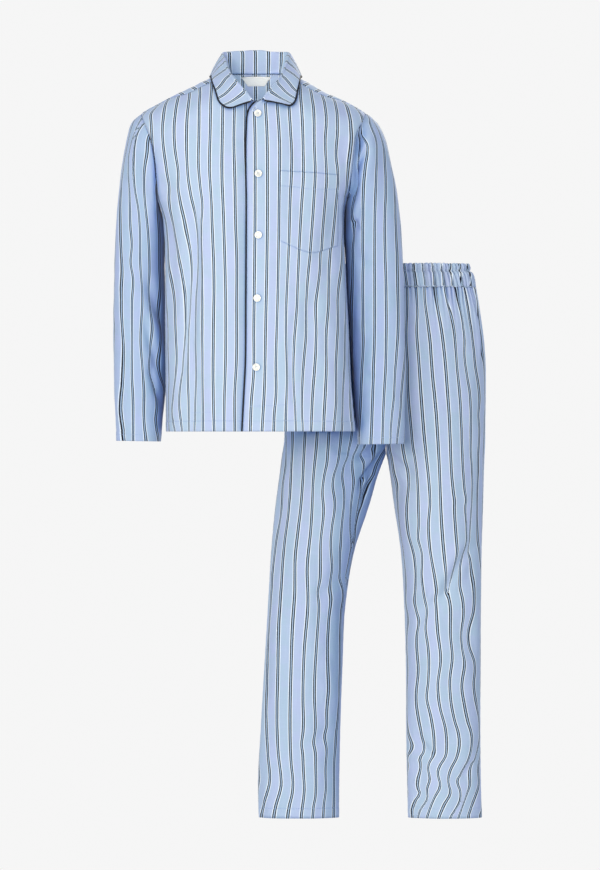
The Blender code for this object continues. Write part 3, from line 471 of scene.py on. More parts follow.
def underlap_setback(x, z):
    """How far the lower layer is set back behind the top one."""
    outside = smooth(FRONT_EDGE, "z", "x", z) - x
    start, complete = UNDERLAP_STEP
    return UNDERLAP_SETBACK * eased((start - outside) / (start - complete))


def shirt_back(across, up):
    """The back below the yoke, as a function of the shares across, from the left, and up."""
    top = YOKE_BACK_Z - SEAM
    z = SHIRT_HEM + (top - SHIRT_HEM) * up
    return torso_point(edge_angle(z, BACK) * (1 - 2 * across), z, BACK)


def neckline(along):
    """The yoke's neckline from the right front, round the back, to the left: its x and shoulder turn."""
    lean = neck_lean(YOKE_SEAM_TURN - YOKE_SEAM_GAP)
    bearing = -lean + (math.pi + 2 * lean) * along
    turn = np.where(np.sin(bearing) > 0, NECK_BACK_TURN, NECK_FRONT_TURN) * np.sin(bearing)
    return -NECK_SIDE * np.cos(bearing), turn


def armhole_x(side, z):
    return smooth(TORSO, "z", "left" if side == LEFT else "right", z)


def armhole_turned(side, turn):
    """The x at which the armhole seam has turned this far over the shoulder."""
    x = armhole_x(side, SHOULDER_POINT_Z) + 0 * turn
    for _ in range(ARMHOLE_ROUNDS):
        x = armhole_x(side, smooth(SHOULDER, "x", "z", x) - turned_drop(np.abs(turn)))
    return x


def yoke_rim(along):
    """The yoke's outer edge: over the right armhole, along the back seam and over the left armhole."""
    low = YOKE_BACK_Z + SEAM
    side = np.where(along < 0.5, RIGHT, LEFT)
    over = np.clip(np.minimum(along, 1 - along) / YOKE_ARMHOLE_SHARE, 0, 1)
    ends = {each: armhole_x(each, low) for each in (RIGHT, LEFT)}
    start = seam_turn(armhole_x(LEFT, SHOULDER_POINT_Z)) - YOKE_SEAM_GAP
    rims = {}
    for each, end in ends.items():
        turn = -start + (shoulder_turn(end, low) + start) * over
        rims[each] = armhole_turned(each, turn), turn
    x = np.where(side == RIGHT, rims[RIGHT][0], rims[LEFT][0])
    turn = np.where(side == RIGHT, rims[RIGHT][1], rims[LEFT][1])
    across = (along - YOKE_ARMHOLE_SHARE) / (1 - 2 * YOKE_ARMHOLE_SHARE)
    seam_x = ends[RIGHT] + (ends[LEFT] - ends[RIGHT]) * across
    on_seam = (across > 0) & (across < 1)
    return np.where(on_seam, seam_x, x), np.where(on_seam, shoulder_turn(seam_x, low), turn)


def over_shoulder(x, turn):
    """A point of the yoke. The turn is negative in front of the shoulder line and positive behind it."""
    z = smooth(SHOULDER, "x", "z", x) - turned_drop(np.abs(turn))
    ahead = torso_at(x, z, FRONT)
    behind = torso_at(x, z, BACK)
    return np.where((turn < 0)[..., None], ahead, behind)


def yoke(along, out):
    """The yoke, as a function of the shares along its neckline and out to its rim."""
    inner_x, inner_turn = neckline(along)
    outer_x, outer_turn = yoke_rim(along)
    x = inner_x + (outer_x - inner_x) * out
    narrowed = (YOKE_SEAM_TURN - seam_turn(x)) / (YOKE_SEAM_TURN * YOKE_TAPER)
    in_front = eased(1 - np.minimum(along, 1 - along) / YOKE_ARMHOLE_SHARE)
    share = out + (narrowed - out) * in_front
    return over_shoulder(x, inner_turn + (outer_turn - inner_turn) * share)


def armhole(side, bearing):
    """The armhole seam, from the shoulder forwards and down to the armpit and up the back."""
    top = smooth(SHOULDER, "x", "z", armhole_x(side, SHOULDER_POINT_Z))
    z = top - (top - ARMPIT) * (1 - np.cos(bearing)) / 2
    x = armhole_x(side, z)
    fullness = np.sin(np.minimum(shoulder_turn(x, z), math.pi / 2))
    y = -np.sign(np.sin(bearing)) * armhole_depth(z) * fullness
    return np.stack([x + side * 2 * SEAM, y, z], axis=-1)


def sleeve(side):
    """A sleeve, as a function of the share round it, from the top forwards, and along it."""
    rings = SLEEVES[side]

    def oval(bearing, at):
        values = {name: smooth(rings, "at", name, at) for name in rings[0]._fields}
        lift = power(np.cos(bearing), 2 / SLEEVE_ROUNDNESS)
        ahead = power(np.sin(bearing), 2 / SLEEVE_ROUNDNESS)
        outwards = (1 + lift) / 2
        x = values["inner_x"] + (values["outer_x"] - values["inner_x"]) * outwards
        z = values["inner_z"] + (values["outer_z"] - values["inner_z"]) * outwards
        return np.stack([side * x, values["middle"] - values["depth"] * ahead, z], axis=-1)

    def place(around, along):
        bearing = 2 * math.pi * around
        shape = armhole(side, bearing) - oval(bearing, 0 * along)
        return oval(bearing, along) + (1 - eased(along / SLEEVE_HEAD))[..., None] * shape

    return place


# The collar


def neck_seam(at):
    """The shirt's neckline all the way round, at the collar's own shares."""
    corner = NECK_SIDE * math.cos(neck_lean(YOKE_SEAM_TURN))
    share = COLLAR_SEAM_SHARE
    right = np.clip(at / share, 0, 1)
    left = np.clip((1 - at) / share, 0, 1)
    round_back = np.clip((at - share) / (1 - 2 * share), 0, 1)
    back_x, back_turn = neckline(round_back)
    behind = over_shoulder(back_x, back_turn)
    right_x = COLLAR_ENDS[RIGHT] - (corner + COLLAR_ENDS[RIGHT]) * right
    left_x = COLLAR_ENDS[LEFT] + (corner - COLLAR_ENDS[LEFT]) * left
    x = np.where(at < 0.5, right_x, left_x)
    ahead = torso_at(x, front_top(x), FRONT)
    in_front = (at < share) | (at > 1 - share)
    return np.where(in_front[..., None], ahead, behind)


def collar_depth(at):
    """The share of the depth that the collar reaches, less at its rounded corners."""
    width, cut = COLLAR_CORNER
    inside = np.clip(np.minimum(at, 1 - at) / width, 0, 1)
    return 1 - cut * (1 - np.sqrt(inside * (2 - inside)))


def collar(at, out):
    """The collar's visible face: up the inside of the stand, over the roll and down the fall."""
    reach = (collar_depth(at) - FALL_SHARE) / (1 - FALL_SHARE)
    out = np.where(out > FALL_SHARE, FALL_SHARE + (out - FALL_SHARE) * reach, out)
    seam = neck_seam(at) + np.array([0, 0, COLLAR_CLEAR])
    roll = np.stack([smooth(COLLAR, "at", "roll_" + axis, at) for axis in "xyz"], axis=-1)
    edge = np.stack([smooth(COLLAR, "at", "edge_" + axis, at) for axis in "xyz"], axis=-1)
    away = (edge - roll) * np.array([1, 1, 0])
    away /= np.linalg.norm(away, axis=-1, keepdims=True)
    up = np.array([0.0, 0.0, 1.0])
    turn = np.clip((out - STAND_SHARE) / (FALL_SHARE - STAND_SHARE), 0, 1)[..., None] * math.pi
    over = roll + COLLAR_FOLD * ((1 - np.cos(turn)) * away + (np.sin(turn) - 1) * up)
    stand_top = roll - COLLAR_FOLD * up
    fall_top = roll + COLLAR_FOLD * (2 * away - up)
    rise = np.clip(out / STAND_SHARE, 0, 1)[..., None]
    fall = np.clip((out - FALL_SHARE) / (1 - FALL_SHARE), 0, 1)[..., None]
    standing = seam + (stand_top - seam) * rise
    falling = fall_top + (edge - fall_top) * fall + COLLAR_BULGE * np.sin(math.pi * fall) * away
    out = out[..., None]
    return np.where(out < STAND_SHARE, standing, np.where(out > FALL_SHARE, falling, over))


# The trousers


def leg_value(side, name, z):
    return smooth(LEGS[side], "z", name, z)


def leg_end_angle(side, z):
    """The angle from the outer edge at which a leg's oval meets the centre seam or the inseam."""
    outer, inner = leg_value(side, "outer", z), leg_value(side, "inner", z)
    middle, half = (outer + inner) / 2, (outer - inner) / 2
    return np.arccos(np.clip(-middle / half, -1, 1))


def trouser_panel(side, face):
    """A quarter of the trousers, as a function of the shares in, from the side seam, and up."""

    def place(across, up):
        z = TROUSER_HEM + (WAIST_SEAM - 2 * SEAM - TROUSER_HEM) * up
        outer, inner = leg_value(side, "outer", z), leg_value(side, "inner", z)
        middle, half = (outer + inner) / 2, (outer - inner) / 2
        depth = leg_value(side, "front" if face == FRONT else "back", z)
        start = SEAM / depth
        end = leg_end_angle(side, z)
        end = end - SEAM / np.where(end > LEG_CLOSED, depth, half * np.sin(end) + SEAM)
        angle = start + (end - start) * across
        x = TROUSERS_CENTRE + side * (middle + half * np.cos(angle))
        return np.stack([x, TROUSERS_BEHIND + face * depth * np.sin(angle), z], axis=-1)

    return place


# What lies on a panel


def unit_normals(place, a, b, outer):
    """Unit normals on a surface's outer side, from small steps along its two shares."""
    low_a, high_a = np.clip(a - SMALL_STEP, 0, 1), np.clip(a + SMALL_STEP, 0, 1)
    low_b, high_b = np.clip(b - SMALL_STEP, 0, 1), np.clip(b + SMALL_STEP, 0, 1)
    normal = np.cross(place(high_a, b) - place(low_a, b), place(a, high_b) - place(a, low_b))
    return outer * normal / np.linalg.norm(normal, axis=-1, keepdims=True)


def front_shares(side, x, z):
    """The shares across and up a front at a place on it."""
    edge = front_angle(side, 0 * x, z)
    across = (torso_angle(x, z, FRONT) - edge) / (side * edge_angle(z, FRONT) - edge)
    return across, (z - SHIRT_HEM) / (front_column_top(side, across) - SHIRT_HEM)


def behind_label(across, up):
    """The yoke's outer face behind the label, which narrows downwards from the neck seam."""
    high, low = LABEL_TURN
    half = LABEL_BOTTOM_HALF + (LABEL_TOP_HALF - LABEL_BOTTOM_HALF) * up
    return over_shoulder(half * (2 * across - 1), low + (high - low) * up)


def neck_label(across, up):
    """The label's visible face, hung from the neck seam inside the back."""
    normal = unit_normals(behind_label, across, up, 1)
    return behind_label(across, up) + normal * (WALL + LABEL_LIFT + LABEL_WALL)


# The stripes seen from the front: each stripe's number, and the x of its middle for some z, in millimetres.
MILLIMETRE = 0.001
STRIPES = {
    "shirt_front_right": {
        -8: {-700: -172.2, -646: -176.8, -596: -175.5, -490: -181.8, -440: -186.1, -384: -193.9,
            -290: -206, -240: -218, -160: -228, -90: -232, -60: -228},
        -7: {-700: -159, -666: -164.6, -634: -162.8, -582: -157.5, -480: -161.2, -430: -165.5, -384: -173,
            -290: -184.1, -240: -195.9, -160: -204, -86: -208.6, -72: -210, -52: -204},
        -6: {-700: -146.6, -646: -151.3, -560: -147.3, -506: -142.7, -416: -143.6, -322: -159.4,
            -276: -168, -240: -173.6, -214: -173.1, -180: -178.1, -88: -185.8, -42: -176.8},
        -5: {-700: -133.9, -646: -135, -530: -138.2, -440: -132.7, -336: -132.7, -292: -141.1,
            -222: -153.3, -192: -152.4, -134: -160.4, -88: -162, -34: -154},
        -4: {-700: -123.8, -646: -123.2, -582: -120.2, -518: -122, -440: -122, -364: -118.1, -276: -120.4,
            -238: -128.3, -204: -134, -146: -136.4, -88: -136.4, -28: -132},
        -3: {-700: -105.1, -620: -106.3, -440: -105.3, -364: -108.4, -296: -108.8, -250: -106.4,
            -222: -110, -180: -113.4, -112: -112.6, -16: -112},
        -2: {-700: -81.2, -596: -83.6, -350: -83.3, -250: -87.9, -180: -91.6, -112: -90.4, -20: -88},
        -1: {-700: -62.1, -624: -60.9, -570: -59.6, -284: -63, -210: -66.3, -62: -65.3},
        0: {-700: -41.6, -624: -41.6, -582: -39, -454: -37.8, -360: -37.4, -296: -39.4, -204: -41,
            -124: -43, -70: -42.2},
    },
    "shirt_front_left": {
        0: {-702: -10.6, -638: -8.2, -598: -4.5, -498: -3.6, -224: -1, -112: -1.5, -60: -3.2},
        1: {-702: 12.9, -628: 17.1, -498: 20, -224: 23.6, -102: 22.1, -48: 19.1},
        2: {-702: 35.8, -668: 37, -638: 40.2, -568: 40.3, -480: 43, -260: 46.5, -102: 46.1, -48: 42},
        3: {-702: 59.9, -648: 61.1, -598: 62.8, -480: 59.8, -344: 65.8, -248: 68.3, -144: 71.7, -102: 69,
            -48: 65.4},
        4: {-702: 80.8, -648: 78.8, -608: 75.7, -520: 76.7, -468: 81.3, -344: 86.1, -258: 90.9,
            -190: 95.2, -132: 94.6, -12: 88.2},
        5: {-702: 93.6, -648: 91.6, -564: 96.6, -524: 100.6, -410: 103.1, -334: 109.3, -236: 116,
            -190: 118, -132: 116, -54: 113.4, -16: 108},
        6: {-702: 109.2, -678: 110.5, -510: 121.2, -452: 120.6, -382: 129, -310: 132.8, -192: 140.7,
            -122: 137.9, -82: 140.4, -26: 131},
        7: {-702: 133.6, -560: 139.7, -498: 140.8, -448: 145, -334: 151.7, -258: 159.1, -184: 163.2,
            -158: 159.8, -102: 163.4, -72: 161.8, -34: 155.2},
        8: {-702: 152.3, -658: 155.3, -550: 157.8, -490: 162.4, -424: 164.1, -330: 174.1, -250: 178.8,
            -196: 180.9, -112: 189.2, -78: 187.5, -46: 180.3},
        9: {-702: 169.6, -604: 174.8, -540: 178.5, -420: 183, -340: 192, -260: 200, -200: 204, -140: 212,
            -84: 214, -58: 206.4},
        10: {-702: 192.8, -648: 186.9, -608: 186.7, -440: 197.9, -360: 210, -280: 222, -220: 228,
            -160: 234, -100: 236, -68: 230},
    },
    "shirt_sleeve_right": {
        -1: {-722: -304, -600: -306, -544: -298, -500: -290, -440: -298, -320: -296, -200: -288,
            -120: -268, -60: -246},
        0: {-724: -262.2, -698: -264.8, -658: -270, -596: -264.7, -544: -263.6, -468: -270, -420: -269.6,
            -374: -267.4, -340: -269.8, -220: -269.1, -160: -264, -100: -250, -48: -232},
        1: {-724: -246.2, -646: -245.6, -596: -248, -520: -248.2, -442: -248.2, -398: -245.2,
            -366: -250.8, -330: -248, -296: -251.2, -226: -252.8, -144: -252, -104: -240, -64: -220},
        2: {-724: -219.6, -672: -224, -620: -224, -570: -226.7, -532: -230.5, -430: -226.8, -378: -230.5,
            -260: -235, -216: -243.4, -142: -243.4, -92: -227, -76: -210},
        3: {-724: -194.6, -680: -201, -654: -198.4, -620: -199.8, -590: -210, -570: -213.8, -540: -210,
            -506: -208, -454: -211.3, -318: -214.6, -272: -218.9, -230: -223.6, -196: -223.6,
            -152: -216.8, -114: -212.2, -92: -200},
        4: {-724: -176, -660: -180, -616: -184, -592: -190.8, -468: -190.8, -340: -192.4, -296: -193.8,
            -250: -198, -220: -199.4, -190: -194.8, -160: -192, -120: -186},
        5: {-724: -154.2, -592: -168.1, -468: -169, -340: -171, -270: -172, -220: -168, -160: -160},
    },
    "shirt_sleeve_left": {
        0: {-724: 184, -640: 187, -590: 188, -520: 167, -420: 170, -290: 169, -240: 170, -180: 180},
        1: {-724: 183.2, -600: 189.2, -480: 190.5, -400: 192.8, -290: 191.8, -220: 190, -160: 204.8,
            -120: 210},
        2: {-724: 205.1, -632: 209.8, -490: 213.6, -290: 213.4, -240: 213.8, -174: 219, -138: 223.6,
            -108: 212},
        3: {-724: 230.1, -516: 236.6, -230: 238.7, -156: 241.8, -122: 242.4, -84: 229},
        4: {-724: 253.1, -632: 256, -574: 259.4, -420: 260, -290: 256.8, -184: 259.8, -132: 255.8,
            -102: 247.6, -78: 235},
        5: {-724: 269, -688: 270.4, -632: 275.6, -574: 279.1, -516: 282.2, -290: 278.6, -184: 274.8,
            -140: 270, -108: 262, -76: 244},
        6: {-724: 281.3, -688: 285.3, -574: 293.5, -520: 299.3, -220: 295.8, -160: 290.1, -120: 280,
            -74: 256},
        7: {-724: 298, -600: 310.1, -540: 318, -440: 326, -280: 322, -180: 314, -130: 300, -74: 270},
    },
    "trousers_front_right": {
        -13: {-1484: 9, -1460: 14.3, -1413: 27.4, -1352: 22.7, -1206: 19.6, -1066: 26.5, -926: 36.9,
            -912: 38.9, -871: 49.1, -808: 54.9, -782: 59.1, -639: 49.2, -456: 80.1, -363: 111},
        -12: {-1484: 35.6, -1464: 39.1, -1417: 50.5, -1403: 50.1, -1358: 44.9, -1178: 44.7, -942: 55.1,
            -871: 64.2, -746: 71.5, -639: 74.2, -456: 102.6, -363: 129.3},
        -11: {-1484: 62.9, -1458: 66.8, -1439: 71.6, -1421: 73.5, -1370: 69.6, -1184: 69.5, -1086: 73,
            -1036: 76.9, -953: 78.9, -900: 84.5, -746: 94.9, -639: 99.2, -456: 125.1, -363: 147.6},
        -10: {-1484: 90.6, -1419: 96.7, -1399: 95.4, -1318: 94, -1295: 95.1, -1241: 94.1, -1151: 96.4,
            -1040: 104.4, -983: 102.3, -906: 109.4, -778: 116.8, -746: 120.3, -639: 124.2, -456: 147.6,
            -363: 165.9},
        -9: {-1484: 113.4, -1460: 115.7, -1443: 119.3, -1425: 120.1, -1342: 118.8, -1285: 119.4,
            -1253: 117.8, -1111: 123.2, -1066: 126.8, -1030: 126.6, -1001: 129.1, -926: 130, -859: 135.6,
            -827: 133.2, -798: 136.3, -764: 142.8, -746: 144.1, -639: 149.2, -456: 170.1, -363: 184.2},
        -8: {-1484: 135.1, -1458: 137.2, -1429: 141.4, -1383: 140.2, -1354: 142.3, -1330: 141.1,
            -1306: 143.4, -1273: 141.9, -1224: 144.7, -1174: 143.1, -1066: 148.1, -1009: 154.3,
            -983: 154.2, -924: 150.1, -898: 152.1, -847: 158.4, -808: 153.6, -790: 156.5, -770: 163.5,
            -746: 167.5, -639: 174.4, -363: 202.6},
        -7: {-1482: 157.5, -1340: 159.7, -1249: 167, -1208: 169.3, -1076: 173.3, -1034: 177.3,
            -997: 171.7, -900: 172.1, -829: 179.8, -788: 174.3, -776: 176.3, -756: 185, -741: 187.7,
            -639: 199.2, -456: 215.1, -363: 220.8},
        -6: {-1482: 176.6, -1046: 182, -995: 182.1, -957: 188.3, -933: 193.1, -912: 191.3, -841: 195.4,
            -810: 199.3, -754: 197.1, -741: 202, -639: 224.2, -456: 237.6, -363: 239.1},
        -5: {-1482: 178.4, -1147: 183.4, -1046: 184, -995: 182.3, -957: 188.4, -865: 207.8, -823: 215.9,
            -802: 221.9, -786: 219.8, -782: 220.4, -754: 216.4, -741: 216.7, -639: 249.2, -456: 260.1,
            -363: 257.4},
        -4: {-1482: 180.4, -1147: 185.5, -1046: 186, -995: 182.3, -957: 188.4, -865: 207.7, -823: 215.8,
            -768: 232.9, -748: 238, -733: 243.3, -639: 255.8, -456: 282.5, -363: 275.8},
        -3: {-1482: 182.5, -1147: 187.5, -1046: 188, -995: 182.3, -957: 188.3, -933: 193.1, -869: 207.8,
            -841: 218.9, -815: 228.7, -792: 239.4, -733: 265.7, -639: 270, -456: 305.1, -363: 294},
    },
    "trousers_front_left": {
        -4: {-1484: 317.5, -1472: 317, -1450: 322, -1435: 330, -1425: 326.4, -1411: 325.9, -1379: 331.6,
            -1364: 329.7, -1350: 338.4, -1344: 340.4, -1314: 333.2, -1230: 324, -1198: 327, -1119: 324,
            -1082: 328.8, -1048: 319.3, -1017: 321.7, -961: 319.8, -900: 306.9, -855: 303.6, -808: 304.2,
            -754: 296.6, -639: 288.3, -416: 285.1, -363: 281.8},
        -3: {-1484: 325.5, -1468: 331, -1446: 345.2, -1425: 344, -1409: 350.4, -1379: 346.8, -1372: 349.1,
            -1360: 358.2, -1336: 359, -1279: 353.3, -1241: 344.8, -1210: 347.8, -1139: 346.9,
            -1101: 341.2, -1060: 344.9, -1050: 343.2, -1030: 336.9, -997: 332.2, -948: 333.1, -920: 325.8,
            -894: 327.8, -843: 326.9, -709: 312.3, -604: 304.5, -569: 304.6, -528: 302.2, -416: 303.8,
            -363: 300.1},
        -2: {-1484: 343.4, -1441: 360.6, -1423: 371.1, -1415: 372, -1399: 367.1, -1389: 366.9,
            -1379: 370.5, -1360: 382.2, -1342: 384.8, -1308: 382.8, -1259: 370.5, -1214: 366.5,
            -1165: 372.3, -1103: 365.7, -1060: 362.9, -1040: 364.7, -934: 348.8, -892: 346.7, -843: 350.4,
            -819: 349.2, -719: 338.8, -549: 326.2, -490: 322.9, -464: 324.7, -449: 324.3, -363: 318.4},
        -1: {-1484: 368.8, -1456: 380.1, -1435: 391.8, -1429: 392, -1413: 387.8, -1387: 392.3,
            -1366: 403.7, -1310: 409.2, -1289: 401.8, -1206: 391.2, -1155: 396, -1123: 393.2,
            -1052: 391.8, -1036: 389.3, -863: 372, -774: 368.8, -664: 361.8, -591: 355, -522: 350.4,
            -437: 339.4, -363: 336.7},
        0: {-1484: 368.8, -1456: 380.1, -1435: 391.8, -1429: 392, -1413: 387.8, -1387: 392.3,
            -1366: 403.7, -1310: 409.2, -1289: 401.8, -1206: 391.2, -1155: 396, -1123: 393.2,
            -1052: 391.8, -1036: 389.3, -987: 401, -855: 399.7, -843: 399.8, -825: 397.5, -646: 386.8,
            -488: 371.2, -429: 361.2, -363: 354.9},
        1: {-1484: 391.8, -1446: 413.1, -1433: 412.9, -1405: 407.2, -1397: 413.7, -1389: 418.1,
            -1310: 434.1, -1291: 428.7, -1257: 420.9, -1220: 415.5, -1167: 420.7, -1147: 417.9,
            -1068: 420, -1040: 417.7, -1011: 412.8, -983: 413.6, -950: 422.3, -900: 426.3, -853: 423.7,
            -843: 424.8, -823: 422, -642: 411, -587: 405.5, -478: 395.5, -437: 383.8, -363: 373.2},
        2: {-1484: 407.6, -1439: 424, -1421: 430.7, -1397: 430.7, -1364: 442.1, -1324: 453.2,
            -1281: 451.9, -1259: 446.4, -1212: 439.3, -1188: 442.4, -1174: 442, -1139: 431.8,
            -1105: 430.7, -1070: 436.5, -1009: 438.8, -957: 432.3, -782: 437.1, -746: 434, -628: 429.6,
            -545: 420, -514: 420.4, -478: 416.7, -363: 391.6},
        3: {-1480: 427.8, -1439: 442.1, -1421: 447.5, -1381: 448, -1340: 460.3, -1289: 468.4,
            -1127: 460.3, -1046: 462.3, -904: 447.1, -778: 447.3, -750: 446.9, -691: 448.9, -681: 447.8,
            -638: 450.4, -561: 440, -518: 436.4, -363: 409.9},
    },
}
WIDE_PITCH = 0.0226  # between stripes on the shirt's flat cloth
NARROW_GAP = 0.004  # the least that stripes come together in a fold
MERGED_GAP = 0.0012  # nearer than this, a fold swallows what lies between two stripes

# The plainer stripes of the trousers' backs and waist: where one runs on each leg, and how far apart
# they lie.
LEG_STRIPES = {
    LEFT: table("z x pitch", [
        (-0.363, 0.3497, 0.0183),
        (-0.385, 0.3550, 0.0183),
        (-0.416, 0.3599, 0.0187),
        (-0.456, 0.3660, 0.0225),
        (-0.503, 0.3741, 0.0260),
        (-0.639, 0.3883, 0.0250),
        (-0.781, 0.3923, 0.0243),
        (-0.939, 0.4041, 0.0247),
        (-1.022, 0.3883, 0.0249),
        (-1.098, 0.3923, 0.0248),
        (-1.146, 0.3944, 0.0247),
        (-1.205, 0.3899, 0.0245),
        (-1.259, 0.3962, 0.0243),
        (-1.316, 0.4120, 0.0243),
        (-1.354, 0.4057, 0.0243),
        (-1.399, 0.3883, 0.0243),
        (-1.430, 0.3929, 0.0243),
        (-1.485, 0.3676, 0.0243),
    ]),
    RIGHT: table("z x pitch", [
        (-0.363, 0.1476, 0.0183),
        (-0.456, 0.1251, 0.0225),
        (-0.503, 0.1119, 0.0260),
        (-0.639, 0.0992, 0.0250),
        (-0.709, 0.0965, 0.0248),
        (-0.781, 0.0919, 0.0239),
        (-0.844, 0.0870, 0.0245),
        (-0.939, 0.0791, 0.0254),
        (-1.035, 0.0744, 0.0258),
        (-1.130, 0.0712, 0.0255),
        (-1.225, 0.0695, 0.0252),
        (-1.316, 0.0695, 0.0252),
        (-1.395, 0.0728, 0.0252),
        (-1.426, 0.0712, 0.0252),
        (-1.484, 0.0616, 0.0252),
    ]),
}
LEG_NUMBERS = {LEFT: 0, RIGHT: -11}  # that stripe's number
TROUSER_PITCH = 0.0250
SLEEVE_PITCH = 0.0215
WAIST_PITCH = 0.0183
WAIST_LEAN = 0.12  # how far the casing's stripes lean, for its height

# The stripes' numbers along the collar's roll and along the edge of its fall.
ROLL_STRIPES = table("at number", [
    (0.00, -9.9),
    (0.11, -9.0),
    (0.19, -8.0),
    (0.25, -7.0),
    (0.30, -6.0),
    (0.443, -2.0),
    (0.470, -1.0),
    (0.496, 0.0),
    (0.522, 1.0),
    (0.548, 2.0),
    (0.70, 6.0),
    (0.75, 7.0),
    (0.81, 8.0),
    (0.89, 9.0),
    (1.00, 9.9),
])
EDGE_STRIPES = table("at number", [
    (0.00, -9.7),
    (0.05, -9.0),
    (0.13, -8.0),
    (0.20, -7.0),
    (0.30, -6.0),
    (0.443, -2.4),
    (0.496, 0.0),
    (0.548, 2.4),
    (0.70, 6.0),
    (0.80, 7.0),
    (0.87, 8.0),
    (0.95, 9.0),
    (1.00, 9.7),
])
STAND_UPRIGHT = 0.090  # the stripes stand upright up to here from the middle of the back
STAND_BLEND = 0.030
NECK_PITCH = 0.0256
NECK_STRIPE_X = -0.0014
YOKE_INNER_PITCH = 0.0253
YOKE_OUTER_PITCH = 0.0236
YOKE_STEP = 0.1  # the yoke's stripes change from the inner to the outer pitch this far from the middle
YOKE_LEAN = 0.9
YOKE_LEAN_REACH = 0.006

